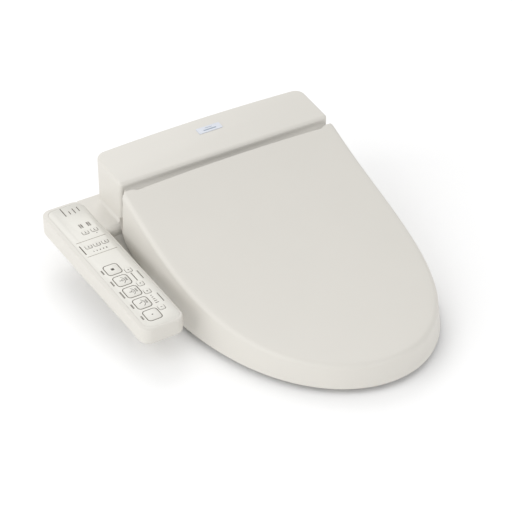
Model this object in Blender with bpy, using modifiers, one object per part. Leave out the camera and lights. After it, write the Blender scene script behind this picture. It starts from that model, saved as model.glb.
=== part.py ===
"""Electric bidet seat: housing with control arm, lid, heated seat, spray wand and air blowers.

Units are metres.  +Z is up, -Y is the front, and -X is the side of the control arm.
The origin is on the underside of the mounting plate, midway between its two bolt slots,
so z = 0 is the top of the toilet bowl.
"""
import math

import bmesh
import bpy
from mathutils import Matrix, Vector

MM = 0.001
GAP = 0.3 * MM                  # between pieces that touch

# Housing
HOUSING_HALF = 182.5 * MM
HOUSING_REAR = 52 * MM
HOUSING_FRONT = -32 * MM
HOUSING_TOP = 159.5 * MM        # at the rear edge
HOUSING_FALL = 0.145            # the top falls this much per unit towards the front
HOUSING_BOW = 5.4 * MM          # the rear edge curves forward this much at its ends
HOUSING_CORNER = 16 * MM
HOUSING_EDGE = 7 * MM
WALL = 3 * MM
SPLIT = 40 * MM                 # parting line between the pan and the covers

# Base pan and the deck in front of the housing
PAN_FLOOR = 6.5 * MM
PAN_FRONT = -102 * MM
DECK_HALF = HOUSING_HALF - 10.5 * MM
DECK_WALL = 2.5 * MM
WEB_TOP = 42 * MM               # the pan's web between the housing and the arm
WEB_REAR = 30 * MM
WEB_LOW = 20 * MM
WEB_SWEEP = 63.5 * MM           # its top is hollowed to this radius round the hinge axis
WEB_FRONT = (-112 * MM, 39 * MM)

# Side profile of the deck and of the hollow below it, as (y, z) in mm.
# It stays outside the sweep of the lid's rear edge.
DECK_PROFILE = [(-102, 40.3), (-102, 42), (-97, 47), (-84, 54), (-70, 57.5), (-58, 62), (-46, 70),
                (-38, 79), (-32.4, 84), (-32.4, 40.3)]
DECK_HOLLOW = [(-99.5, 36), (-99.5, 41), (-95.6, 44.4), (-83, 51.3), (-69, 54.8), (-56.8, 59.4),
               (-44.6, 67.6), (-36.6, 76.6), (-30, 82), (-30, 36)]

# Mounting plate
PLATE_HALF = 95 * MM
PLATE_DEPTH = 62 * MM
PLATE_THICK = 5.5 * MM
BOLT_SPACING = 140 * MM
SLOT_WIDTH = 11 * MM
SLOT_LENGTH = 32 * MM

# Lid: straight sides, then a rounded front
LID_HALF = HOUSING_HALF + 7.5 * MM
LID_REAR = -46 * MM             # the top's rear edge
LID_FRONT = -478 * MM
LID_ROUND = -128 * MM           # the sides start to curve in here
LID_ROUND_POWER = 2.57
LID_TOP_FRONT = 47 * MM
LID_TOP_REAR = 142.8 * MM
LID_SWEEP = 2.1                 # power of the rise from front to rear
LID_CROWN = 5 * MM
LID_WALL = 3 * MM
LID_DRAFT = 4 * MM
LID_EDGE = 8 * MM
LID_RIM = 9 * MM
LID_CHEEK_REAR = -39 * MM       # rear edge of the lid's side walls
LID_CHEEK_TOP = 96 * MM         # below here that edge curves forward, down to the rim
LID_CHEEK_LOW = 46 * MM
LID_CHEEK_MID = -100 * MM       # where the curve meets the rim
LID_CHEEK_RISE = -205 * MM      # the rim starts to rise here

# Hinge axis of the lid and the seat
HINGE_Y = -84 * MM
HINGE_DEPTH = 15.96 * MM        # below the middle of the lid's top
HINGE_Z = LID_TOP_FRONT - HINGE_DEPTH + (LID_TOP_REAR - LID_TOP_FRONT) * (
    (HINGE_Y - LID_FRONT) / (LID_REAR - LID_FRONT)) ** LID_SWEEP
PIN_RADIUS = 3 * MM
BORE_CLEARANCE = 0.4 * MM
BARREL_RADIUS = 7.5 * MM
POST_INNER = LID_HALF - 50 * MM
POST_WIDTH = 16 * MM
LUG_WIDTH = 13 * MM
LUG_GAP = 0.6 * MM
DAMPER_LENGTH = 22 * MM

# Seat ring
SEAT_INSET = 7 * MM             # inside the lid's outline
SEAT_REAR = -98 * MM
SEAT_TOP_FRONT = 34 * MM
SEAT_RISE = 50 * MM
SEAT_WALL = 3 * MM
SEAT_EDGE = 9 * MM
SEAT_BASE = 9 * MM
SEAT_BASE_FIT = 0.9 * MM        # between the seat's wall and its base plate
SEAT_BASE_REAR = 50 * MM
SEAT_RAMP = (-215 * MM, -125 * MM)   # the seat's lower edge rises between these
SEAT_CORNER = 30 * MM
OPENING_HALF = 106 * MM
OPENING_REAR = -140 * MM
OPENING_FRONT = LID_FRONT + 78 * MM
SEAT_CENTRE = (0, (OPENING_REAR + OPENING_FRONT) / 2)
BUMPER_LENGTH = 34 * MM
BUMPER_WIDTH = 12 * MM
FRONT_BUMPER_X = 62 * MM
FRONT_BUMPER_Y = LID_FRONT + 46 * MM
REAR_BUMPER_X = LID_HALF - 46 * MM
REAR_BUMPER_Y = -262 * MM
LID_BUMPER_X = LID_HALF - 40 * MM
LID_BUMPER_Y = LID_FRONT + 178 * MM
LID_BUMPER_RADIUS = 5 * MM

# Control arm
ARM_INNER = -LID_HALF - 18 * MM
ARM_OUTER = ARM_INNER - 68.5 * MM
ARM_REAR = 50 * MM
ARM_FRONT = -263 * MM
ARM_TOP = 82.8 * MM             # height of the arm's top face at y = 0
ARM_SLOPE = 0.0693
ARM_UNDER = 51.8 * MM           # height of its underside at y = 0
ARM_UNDER_SLOPE = 0.05
ARM_CORNER = 16 * MM
ARM_EDGE = 3 * MM
ARM_WALL = 2.5 * MM
ARM_COVER_DEPTH = 18 * MM       # the upper shell's height at the arm
SHOULDER_FRONT = -38 * MM
SHOULDER_STEP = 0.2 * MM        # its top lies this far below the arm's top face

# Control panel on the arm, in the plane of its top face
FILM_OUTER = ARM_OUTER + 7.5 * MM
FILM_INNER = ARM_INNER - 3.5 * MM
FILM_REAR = 44 * MM
FILM_FRONT = -258 * MM
FILM_CORNER = 13 * MM
FILM_THICK = 0.8 * MM
WINDOW_LIP = 5 * MM
KEY_CLEARANCE = 0.35 * MM
KEY_PROUD = 0.4 * MM
KEY_TRAVEL = 0.8 * MM
KEY_FLANGE = 0.9 * MM
KEY_HEIGHT = 4.5 * MM
BOARD_THICK = 1.6 * MM

# Spray wand
WAND_TILT = math.radians(30)
WAND_BACK = Vector((0, math.cos(WAND_TILT), math.sin(WAND_TILT)))
WAND_UP = Vector((0, -math.sin(WAND_TILT), math.cos(WAND_TILT)))
WAND_FRAME = Matrix(((1, 0, 0), (0, WAND_UP.y, WAND_BACK.y), (0, WAND_UP.z, WAND_BACK.z))).to_4x4()
WAND_MOUTH = (-102 * MM, 22 * MM)
WAND_RADIUS = 6.5 * MM
WAND_LENGTH = 118 * MM
WAND_TIP = 12 * MM
GUIDE_CLEARANCE = 0.8 * MM
GUIDE_WALL = 2.2 * MM
PASSAGE_HALF = 26 * MM          # opening in the housing's front wall for the wand
PASSAGE_TOP = 80 * MM
RACK_HEIGHT = 3 * MM
RACK_WIDTH = 4 * MM
PINION_RADIUS = 6 * MM
PINION_AT = 22 * MM             # distance back from the mouth along the wand
PINION_TEETH = 12
MOTOR_RADIUS = 9 * MM

# Fittings in the pan's walls
INLET_Y = 24 * MM
INLET_Z = 25 * MM
INLET_RADIUS = 9 * MM
INLET_LENGTH = 18 * MM
PLUG_Y = 0 * MM
PLUG_RADIUS = 8 * MM
GLAND_X = -60 * MM
GLAND_Z = 24 * MM
GLAND_RADIUS = 6 * MM
BUTTON_Y = -40 * MM
BUTTON_HALF = 10 * MM
BUTTON_Z = (20 * MM, 32 * MM)
BUTTON_PROUD = 1.5 * MM

# Water tank and valve
TANK_LOW = (HOUSING_HALF - 137.5 * MM, -20 * MM, 12 * MM)
TANK_HIGH = (HOUSING_HALF - 42.5 * MM, 42 * MM, 104 * MM)
TANK_WALL = 2.5 * MM
HEATER_RADIUS = 4 * MM
VALVE_SIZE = (28 * MM, 24 * MM, 24 * MM)
COIL_RADIUS = 10 * MM

# Warm air dryer
BLOWER_X = -88 * MM
BLOWER_Y = 0 * MM
BLOWER_Z = 11 * MM
BLOWER_RADIUS = 27 * MM
BLOWER_HEIGHT = 27 * MM
BLOWER_WALL = 2 * MM
WHEEL_RADIUS = 21 * MM
DUCT_HALF = 22 * MM
DUCT_Z = (14 * MM, 32 * MM)
FLAP_THICK = 1.6 * MM
FLAP_SET_IN = 0.4 * MM          # behind the pan's front face

# Deodorizer
FILTER_X = (64 * MM, 104 * MM)
FILTER_Y = (-96 * MM, -60 * MM)
FILTER_Z = (12 * MM, 38 * MM)
FAN_Y = (-56 * MM, -44 * MM)
FAN_Z = (10.5 * MM, 50 * MM)
FAN_HOLE_RADIUS = 17 * MM
STRUT_HALF = 2.7 * MM

# Boards
MAIN_BOARD_X = (-HOUSING_HALF + 17.5 * MM, -60 * MM)
MAIN_BOARD_Y = 36 * MM
MAIN_BOARD_Z = (50 * MM, 140 * MM)
TRANSFORMER_X = (-HOUSING_HALF + 32.5 * MM, -112 * MM)
TRANSFORMER_Z = (70 * MM, 104 * MM)
TRANSFORMER_DEPTH = 22 * MM

# Name plate
NAME_PLATE = (-18 * MM, 23 * MM, 16 * MM, 29 * MM)
NAME_PLATE_THICK = 0.6 * MM

# Keys, in mm: (x, y, width across the arm, length along it), with x from the arm's inner side
SMALL_KEYS = {"key_energy_saver": (-32, -26, 9, 8), "key_deodorizer": (-17, -25.5, 9, 8),
              "key_water_heat": (-44, -58, 9, 8), "key_seat_heat": (-30.5, -58, 9, 8),
              "key_dryer_heat": (-17, -58, 9, 8), "key_position_back": (-20, -132.5, 9, 10),
              "key_position_front": (-20, -167.5, 9, 10), "key_pressure_up": (-20, -187, 9, 10),
              "key_pressure_down": (-20, -227, 9, 10)}
FUNCTION_KEYS = ["key_stop", "key_rear_wash", "key_soft_wash", "key_front_wash", "key_dryer"]
FUNCTION_X = -39
FUNCTION_Y = -121
FUNCTION_PITCH = 28.5
FUNCTION_SIZE = (21, 21.5)

BONE = "D9D5CB"
BONE_LIGHT = "E4E1DA"
GREY = "8C8F90"
DARK = "3A3B3D"
STEEL = "C9CCCE"
COPPER = "B87446"
BOARD_GREEN = "2F6B45"
BLACK = "1B1B1C"

MATERIALS = {}
parts = None
cutters = None


# ---------------------------------------------------------------- scene and materials

def clear_scene():
    for item in list(bpy.data.objects):
        bpy.data.objects.remove(item, do_unlink=True)


def new_collection(name):
    group = bpy.data.collections.new(name)
    bpy.context.scene.collection.children.link(group)
    return group


def linear(channel):
    return channel / 12.92 if channel <= 0.04045 else ((channel + 0.055) / 1.055) ** 2.4


def material(name, colour, roughness, metallic=0.0):
    """A Principled material, made once for each name."""
    if name not in MATERIALS:
        made = bpy.data.materials.new(name)
        made.use_nodes = True
        shader = made.node_tree.nodes["Principled BSDF"]
        rgb = [linear(int(colour[i:i + 2], 16) / 255) for i in (0, 2, 4)]
        shader.inputs["Base Color"].default_value = (*rgb, 1)
        shader.inputs["Roughness"].default_value = roughness
        shader.inputs["Metallic"].default_value = metallic
        made.diffuse_color = (*rgb, 1)
        MATERIALS[name] = made
    return MATERIALS[name]


def bone():
    return material("bone_plastic", BONE, 0.35)


def inner_plastic():
    return material("inner_plastic", GREY, 0.5)


def black_plastic():
    return material("black_plastic", DARK, 0.5)


def steel():
    return material("stainless_steel", STEEL, 0.25, 1.0)


def rubber():
    return material("rubber", BONE_LIGHT, 0.8)


def circuit_board():
    return material("circuit_board", BOARD_GREEN, 0.45)


# ---------------------------------------------------------------- mesh helpers

def add_object(name, mesh, finish=None):
    item = bpy.data.objects.new(name, mesh)
    if finish is None:
        cutters.objects.link(item)
        item.hide_render = True
        item.display_type = "WIRE"
    else:
        parts.objects.link(item)
        mesh.materials.append(finish)
    return item


def from_bmesh(name, bm, finish=None):
    bmesh.ops.recalc_face_normals(bm, faces=bm.faces)
    mesh = bpy.data.meshes.new(name)
    bm.to_mesh(mesh)
    bm.free()
    return add_object(name, mesh, finish)


def box(name, low, high, finish=None, bevel=0.0):
    """A box between two corners, with optional bevelled edges."""
    bm = bmesh.new()
    bmesh.ops.create_cube(bm, size=1)
    size = Vector(high) - Vector(low)
    bmesh.ops.scale(bm, vec=size, verts=bm.verts)
    bmesh.ops.translate(bm, vec=(Vector(low) + Vector(high)) / 2, verts=bm.verts)
    item = from_bmesh(name, bm, finish)
    if bevel:
        edge = item.modifiers.new("edges", "BEVEL")
        edge.width = bevel
        edge.segments = 2
    return item


AXIS_TURN = {
    "X": Matrix.Rotation(math.pi / 2, 4, "Y"),
    "Y": Matrix.Rotation(-math.pi / 2, 4, "X"),
    "Z": Matrix.Identity(4),
}


def rod(name, centre, radius, length, axis, finish=None, sides=20, radius_end=None):
    """A cylinder or a cone about one axis; turned smooth round its side."""
    bm = bmesh.new()
    end = radius if radius_end is None else radius_end
    bmesh.ops.create_cone(bm, cap_ends=True, segments=sides, radius1=radius, radius2=end, depth=length)
    bmesh.ops.transform(bm, matrix=Matrix.Translation(centre) @ AXIS_TURN[axis], verts=bm.verts)
    item = from_bmesh(name, bm, finish)
    item.data.shade_smooth()
    item.data.set_sharp_from_angle(angle=math.radians(40))
    return item


def loft(name, rings, finish=None, caps=True):
    """Skin over closed rings that all have the same number of points."""
    bm = bmesh.new()
    rows = [[bm.verts.new(point) for point in ring] for ring in rings]
    count = len(rows[0])
    for lower, upper in zip(rows, rows[1:]):
        for i in range(count):
            j = (i + 1) % count
            bm.faces.new((lower[i], lower[j], upper[j], upper[i]))
    if caps:
        bm.faces.new(list(reversed(rows[0])))
        bm.faces.new(rows[-1])
    return from_bmesh(name, bm, finish)


def extrusion(name, outline, low, high, axis, finish=None):
    """A flat outline carried along X or Z; outline points are (y, z) or (x, y)."""
    if axis == "X":
        rings = [[Vector((at, y, z)) for y, z in outline] for at in (low, high)]
    else:
        rings = [[Vector((x, y, at)) for x, y in outline] for at in (low, high)]
    return loft(name, rings, finish)


def boolean(item, other, operation="DIFFERENCE"):
    change = item.modifiers.new(other.name, "BOOLEAN")
    change.operation = operation
    change.solver = "EXACT"
    change.object = other


def join(item, other):
    boolean(item, other, "UNION")


def shell(item, thickness, offset=-1.0):
    wall = item.modifiers.new("wall", "SOLIDIFY")
    wall.thickness = thickness
    wall.offset = offset
    wall.use_even_offset = True


def pivot(item, point):
    """Move an object's origin to a point and leave its mesh where it is."""
    item.data.transform(Matrix.Translation(-Vector(point)))
    item.location = point


# ---------------------------------------------------------------- outlines

def rounded_outline(x0, x1, y0, y1, radius, steps=4, side_steps=1):
    """A rectangle with round corners, as a counter-clockwise list of (x, y)."""
    centres = [(x1 - radius, y0 + radius), (x1 - radius, y1 - radius),
               (x0 + radius, y1 - radius), (x0 + radius, y0 + radius)]
    points = []
    for corner, (cx, cy) in enumerate(centres):
        start = math.radians(-90 + 90 * corner)
        for step in range(steps + 1):
            turn = start + math.pi / 2 * step / steps
            points.append((cx + radius * math.cos(turn), cy + radius * math.sin(turn)))
        nx, ny = centres[(corner + 1) % 4]
        last = points[-1]
        ahead = (nx + radius * math.cos(start + math.pi / 2), ny + radius * math.sin(start + math.pi / 2))
        for step in range(1, side_steps):
            part = step / side_steps
            points.append((last[0] + (ahead[0] - last[0]) * part, last[1] + (ahead[1] - last[1]) * part))
    return points


def housing_outline(inset):
    """Plan of the housing, whose rear edge is slightly bowed."""
    base = rounded_outline(-HOUSING_HALF + inset, HOUSING_HALF - inset, HOUSING_FRONT + inset,
                           HOUSING_REAR - inset, HOUSING_CORNER - inset / 2, 4, 8)
    middle = (HOUSING_FRONT + HOUSING_REAR) / 2
    outline = []
    for x, y in base:
        share = max(0, (y - middle) / (HOUSING_REAR - middle))
        outline.append((x, y - HOUSING_BOW * (x / HOUSING_HALF) ** 2 * share))
    return outline


def housing_top(y):
    return HOUSING_TOP - HOUSING_FALL * (HOUSING_REAR - y)


def arm_top(y):
    return ARM_TOP + ARM_SLOPE * y


def arm_under(y):
    return ARM_UNDER + ARM_UNDER_SLOPE * y


def lid_half_width(y, inset=0.0):
    """Half the lid's width at y, for an outline moved in by inset."""
    if y >= LID_ROUND:
        return LID_HALF - inset
    share = min(1, (LID_ROUND - y) / (LID_ROUND - LID_FRONT - inset))
    return (LID_HALF - inset) * math.sqrt(max(0, 1 - share ** LID_ROUND_POWER))


def lid_rise(y):
    """0 at the lid's front and 1 at its rear edge."""
    return max(0, (y - LID_FRONT) / (LID_REAR - LID_FRONT))


def lid_top(x, y):
    sweep = (LID_TOP_REAR - LID_TOP_FRONT) * lid_rise(y) ** LID_SWEEP
    return LID_TOP_FRONT + sweep - LID_CROWN * (x / LID_HALF) ** 2


def lid_plan(inset, back=0.0, front_steps=30, cheek_steps=7):
    """The lid's open outline from the left rear round the front to the right rear.

    The rear ends move forward by back, and the points near them by less.
    """
    side = []
    reach = LID_CHEEK_REAR - LID_CHEEK_MID
    for i in range(cheek_steps):
        turn = math.pi / 2 * (1 - i / cheek_steps)
        side.append(LID_CHEEK_MID + (reach - back) * math.sin(turn))
    side.append(LID_CHEEK_MID)
    half = LID_HALF - inset
    left = [(-half, y) for y in side]
    length = LID_ROUND - LID_FRONT - inset
    front = []
    for i in range(front_steps + 1):
        turn = math.pi * i / front_steps
        depth = abs(math.sin(turn)) ** (2 / LID_ROUND_POWER)
        front.append((-half * math.cos(turn), LID_ROUND - length * depth))
    return left + front + [(-x, y) for x, y in reversed(left)]


def rim_height(y):
    """Height of the lower edge of the lid's side wall: a quarter ellipse, a slope and the level rim."""
    if y > LID_CHEEK_MID:
        share = min(1, (y - LID_CHEEK_MID) / (LID_CHEEK_REAR - LID_CHEEK_MID))
        return LID_CHEEK_TOP - (LID_CHEEK_TOP - LID_CHEEK_LOW) * math.sqrt(1 - share ** 2)
    share = max(0, (y - LID_CHEEK_RISE) / (LID_CHEEK_MID - LID_CHEEK_RISE))
    return LID_RIM + (LID_CHEEK_LOW - LID_RIM) * share


def seat_top(y):
    return SEAT_TOP_FRONT + SEAT_RISE * lid_rise(y) ** 2


def seat_base(y):
    """Height of the seat's lower edge, which steps up over the deck at the rear."""
    start, end = SEAT_RAMP
    share = min(1, max(0, (y - start) / (end - start)))
    smooth = share * share * (3 - 2 * share)
    return SEAT_BASE + (SEAT_BASE_REAR - SEAT_BASE) * smooth


def inside_seat(x, y, inset):
    """True inside the seat's outer outline, moved in by inset."""
    rear = SEAT_REAR - inset
    half = lid_half_width(y, SEAT_INSET + inset)
    if y > rear or abs(x) > half:
        return False
    dx = abs(x) - (half - SEAT_CORNER)
    dy = y - (rear - SEAT_CORNER)
    return not (dx > 0 and dy > 0 and math.hypot(dx, dy) > SEAT_CORNER)


def seat_outline(inset, steps=40):
    """The seat's outer outline, one point for each direction from its centre."""
    points = []
    for i in range(steps):
        turn = 2 * math.pi * i / steps
        near, far = 0.0, 0.5
        for _ in range(30):
            reach = (near + far) / 2
            x = SEAT_CENTRE[0] + reach * math.cos(turn)
            y = SEAT_CENTRE[1] + reach * math.sin(turn)
            if inside_seat(x, y, inset):
                near = reach
            else:
                far = reach
        points.append((SEAT_CENTRE[0] + near * math.cos(turn), SEAT_CENTRE[1] + near * math.sin(turn)))
    return points


def opening_outline(outset, steps=40):
    """The oval opening of the seat, grown by outset."""
    half = OPENING_HALF + outset
    length = (OPENING_REAR - OPENING_FRONT) / 2 + outset
    points = []
    for i in range(steps):
        turn = 2 * math.pi * i / steps
        reach = 1 / (abs(math.cos(turn) / half) ** 2.3 + abs(math.sin(turn) / length) ** 2.3) ** (1 / 2.3)
        points.append((reach * math.cos(turn), SEAT_CENTRE[1] + reach * math.sin(turn)))
    return points


# ---------------------------------------------------------------- housing

def housing_solid(name, inset, bottom):
    """The housing's outer form, or its hollow when inset is the wall."""
    rings = [[Vector((x, y, bottom)) for x, y in housing_outline(inset)]]
    edge = HOUSING_EDGE
    for turn in (0, 30, 60, 90):
        inward = edge * (1 - math.cos(math.radians(turn)))
        down = edge * (1 - math.sin(math.radians(turn)))
        rings.append([Vector((x, y, housing_top(y) - inset - down))
                      for x, y in housing_outline(inset + inward)])
    return loft(name, rings)


def arm_solid(name, inset, bottom_of, finish=None, x1=ARM_INNER):
    """The arm's outer form from a lower surface up to its sloping top face."""
    def outline(more):
        return rounded_outline(ARM_OUTER + more, x1 - more, ARM_FRONT + more, ARM_REAR - more,
                               ARM_CORNER - more / 2, 5, 1)
    rings = [[Vector((x, y, bottom_of(y))) for x, y in outline(inset)]]
    for turn in (0, 45, 90):
        inward = ARM_EDGE * (1 - math.cos(math.radians(turn)))
        down = ARM_EDGE * (1 - math.sin(math.radians(turn)))
        rings.append([Vector((x, y, arm_top(y) - inset - down)) for x, y in outline(inset + inward)])
    return loft(name, rings, finish)


def shoulder_solid(name, inset):
    """The bridge between the arm and the housing."""
    low = SPLIT + GAP + 6 * MM - (1 * MM if inset else 0)
    x0 = ARM_INNER - 6 * MM
    x1 = -HOUSING_HALF + 6 * MM
    y0 = SHOULDER_FRONT + inset
    y1 = ARM_REAR - HOUSING_BOW / 2 - inset
    drop = inset + SHOULDER_STEP
    profile = [(y0, low), (y1, low), (y1, arm_top(y1) - drop), (y0, arm_top(y0) - drop)]
    if inset:
        x0 -= WALL
        x1 += WALL
    return extrusion(name, profile, x0, x1, "X")


def panel_outline(grow):
    return rounded_outline(FILM_OUTER - grow, FILM_INNER + grow, FILM_FRONT - grow, FILM_REAR + grow,
                           FILM_CORNER + grow, 4)


def on_arm(outline, depth):
    """Lay plan points at a depth below the arm's top face."""
    return [Vector((x, y, arm_top(y) - depth)) for x, y in outline]


def arm_cut(outline, top, bottom, name):
    return loft(name, [on_arm(outline, bottom), on_arm(outline, top)])


def upper_cover():
    cover = housing_solid("upper_cover", 0, SPLIT + GAP)
    cutters.objects.unlink(cover)
    parts.objects.link(cover)
    cover.hide_render = False
    cover.display_type = "TEXTURED"
    cover.data.materials.append(bone())
    join(cover, arm_solid("arm_form", 0, lambda y: arm_top(y) - ARM_COVER_DEPTH))
    join(cover, shoulder_solid("shoulder_form", 0))
    boolean(cover, housing_solid("housing_hollow", WALL, SPLIT - WALL))
    boolean(cover, arm_solid("arm_hollow", ARM_WALL, lambda y: arm_top(y) - ARM_COVER_DEPTH - WALL))
    boolean(cover, shoulder_solid("shoulder_hollow", WALL))
    boolean(cover, arm_cut(panel_outline(GAP), -5 * MM, FILM_THICK + GAP, "film_recess"))
    window = rounded_outline(FILM_OUTER + WINDOW_LIP, FILM_INNER - WINDOW_LIP, FILM_FRONT + WINDOW_LIP,
                             FILM_REAR - WINDOW_LIP, FILM_CORNER - WINDOW_LIP, 3)
    boolean(cover, arm_cut(window, -5 * MM, ARM_WALL + 3 * MM, "panel_window"))
    boolean(cover, box("wand_passage", (-PASSAGE_HALF, HOUSING_FRONT - 5 * MM, SPLIT - WALL),
                       (PASSAGE_HALF, HOUSING_FRONT + 5 * MM, PASSAGE_TOP)))


def arm_lower_cover():
    """Tray that closes the arm from below, with its wall under the upper shell's wall."""
    def outline(more):
        return rounded_outline(ARM_OUTER + more, ARM_INNER - more, ARM_FRONT + more, ARM_REAR - more,
                               ARM_CORNER - more / 2, 5, 1)
    joint_depth = ARM_COVER_DEPTH + GAP
    rings = [[Vector((x, y, arm_under(y))) for x, y in outline(ARM_EDGE)],
             [Vector((x, y, arm_under(y) + ARM_EDGE)) for x, y in outline(0)],
             on_arm(outline(0), joint_depth),
             on_arm(outline(ARM_WALL), joint_depth),
             [Vector((x, y, arm_under(y) + ARM_EDGE)) for x, y in outline(ARM_WALL)]]
    tray = loft("arm_lower_cover", rings, bone())
    notch = box("shoulder_notch", (ARM_INNER - 6.5 * MM, SHOULDER_FRONT - GAP, SPLIT),
                (ARM_INNER + 5 * MM, ARM_REAR + 5 * MM, 80 * MM))
    boolean(tray, notch)


def web_profile(steps=10):
    """Side profile of the web, hollowed so that the lid's side wall swings past it."""
    top_rear = SHOULDER_FRONT - GAP
    reach = top_rear - HINGE_Y
    profile = [(WEB_FRONT[0], WEB_LOW), (WEB_REAR, WEB_LOW), (WEB_REAR, WEB_TOP), (top_rear, WEB_TOP)]
    for i in range(steps + 1):
        y = reach * (1 - i / steps)
        profile.append((HINGE_Y + y, HINGE_Z - math.sqrt(WEB_SWEEP ** 2 - y ** 2)))
    return profile + [WEB_FRONT]


def bottom_pan():
    outline = rounded_outline(-HOUSING_HALF, HOUSING_HALF, PAN_FRONT, HOUSING_REAR - HOUSING_BOW, 12 * MM, 4)
    inner = rounded_outline(-HOUSING_HALF + WALL, HOUSING_HALF - WALL, PAN_FRONT + WALL,
                            HOUSING_REAR - HOUSING_BOW - WALL, 10 * MM, 4)
    pan = extrusion("bottom_pan", outline, PAN_FLOOR, SPLIT, "Z", bone())
    web = extrusion("arm_web", web_profile(), ARM_INNER + 2 * GAP, -HOUSING_HALF + WALL / 2, "X")
    join(pan, web)
    boolean(pan, extrusion("pan_hollow", inner, PAN_FLOOR + WALL, WEB_TOP + WALL, "Z"))
    boolean(pan, box("side_relief", (-HOUSING_HALF - 2 * MM, HOUSING_FRONT - 1 * MM, SPLIT),
                     (-HOUSING_HALF + WALL + 1 * MM, HOUSING_REAR, 60 * MM)))
    mouth = rod("wand_mouth", (0, *WAND_MOUTH), WAND_RADIUS + 5.5 * MM, 30 * MM, "Y", sides=24)
    boolean(pan, mouth)
    boolean(pan, box("outlet_mouth", (BLOWER_X - DUCT_HALF, PAN_FRONT - 5 * MM, DUCT_Z[0]),
                     (BLOWER_X + DUCT_HALF, PAN_FRONT + 8 * MM, DUCT_Z[1])))
    boolean(pan, rod("inlet_hole", (HOUSING_HALF, INLET_Y, INLET_Z), INLET_RADIUS + 2 * GAP,
                     20 * MM, "X", sides=24))
    boolean(pan, rod("plug_hole", (HOUSING_HALF, PLUG_Y, INLET_Z), PLUG_RADIUS + 2 * GAP,
                     20 * MM, "X", sides=24))
    boolean(pan, rod("gland_hole", (GLAND_X, HOUSING_REAR - 6 * MM, GLAND_Z), GLAND_RADIUS + GAP,
                     24 * MM, "Y"))
    boolean(pan, box("button_hole", (HOUSING_HALF - 8 * MM, BUTTON_Y - BUTTON_HALF - GAP, BUTTON_Z[0] - GAP),
                     (HOUSING_HALF + 8 * MM, BUTTON_Y + BUTTON_HALF + GAP, BUTTON_Z[1] + GAP)))


def front_deck():
    """Cover over the front of the pan, with the two hinge posts."""
    outer = [(y * MM, z * MM) for y, z in DECK_PROFILE]
    hollow = extrusion("deck_hollow", [(y * MM, z * MM) for y, z in DECK_HOLLOW],
                       -DECK_HALF + DECK_WALL, DECK_HALF - DECK_WALL, "X")
    deck = extrusion("front_deck", outer, -DECK_HALF, DECK_HALF, "X", bone())
    boolean(deck, hollow)
    for side in (-1, 1):
        x0 = side * POST_INNER
        x1 = side * (POST_INNER + POST_WIDTH)
        low, high = min(x0, x1), max(x0, x1)
        tag = "left" if side < 0 else "right"
        column = box(f"post_column_{tag}", (low, HINGE_Y - BARREL_RADIUS, 46 * MM),
                     (high, HINGE_Y + BARREL_RADIUS, HINGE_Z))
        barrel = rod(f"post_barrel_{tag}", ((low + high) / 2, HINGE_Y, HINGE_Z), BARREL_RADIUS,
                     POST_WIDTH, "X", sides=24)
        join(deck, column)
        join(deck, barrel)
        boolean(deck, rod(f"post_bore_{tag}", ((low + high) / 2, HINGE_Y, HINGE_Z),
                          PIN_RADIUS + BORE_CLEARANCE, POST_WIDTH + 10 * MM, "X"))


def mounting_plate():
    outline = rounded_outline(-PLATE_HALF, PLATE_HALF, -PLATE_DEPTH / 2, PLATE_DEPTH / 2, 8 * MM, 3)
    plate = extrusion("mounting_plate", outline, 0, PLATE_THICK, "Z", inner_plastic())
    for side in (-1, 1):
        x = side * BOLT_SPACING / 2
        slot = rounded_outline(x - SLOT_WIDTH / 2, x + SLOT_WIDTH / 2, -SLOT_LENGTH / 2, SLOT_LENGTH / 2,
                               SLOT_WIDTH / 2 - 0.1 * MM, 4)
        boolean(plate, extrusion(f"bolt_slot_{side}", slot, -5 * MM, PLATE_THICK + 5 * MM, "Z"))


def badge():
    """Plain name plate on the housing's top."""
    outline = rounded_outline(*NAME_PLATE, 1.5 * MM, 2)
    rings = [[Vector((x, y, housing_top(y) + lift)) for x, y in outline]
             for lift in (GAP, GAP + NAME_PLATE_THICK)]
    loft("name_plate", rings, material("name_plate", "E6ECF2", 0.3))


# ---------------------------------------------------------------- lid

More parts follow.
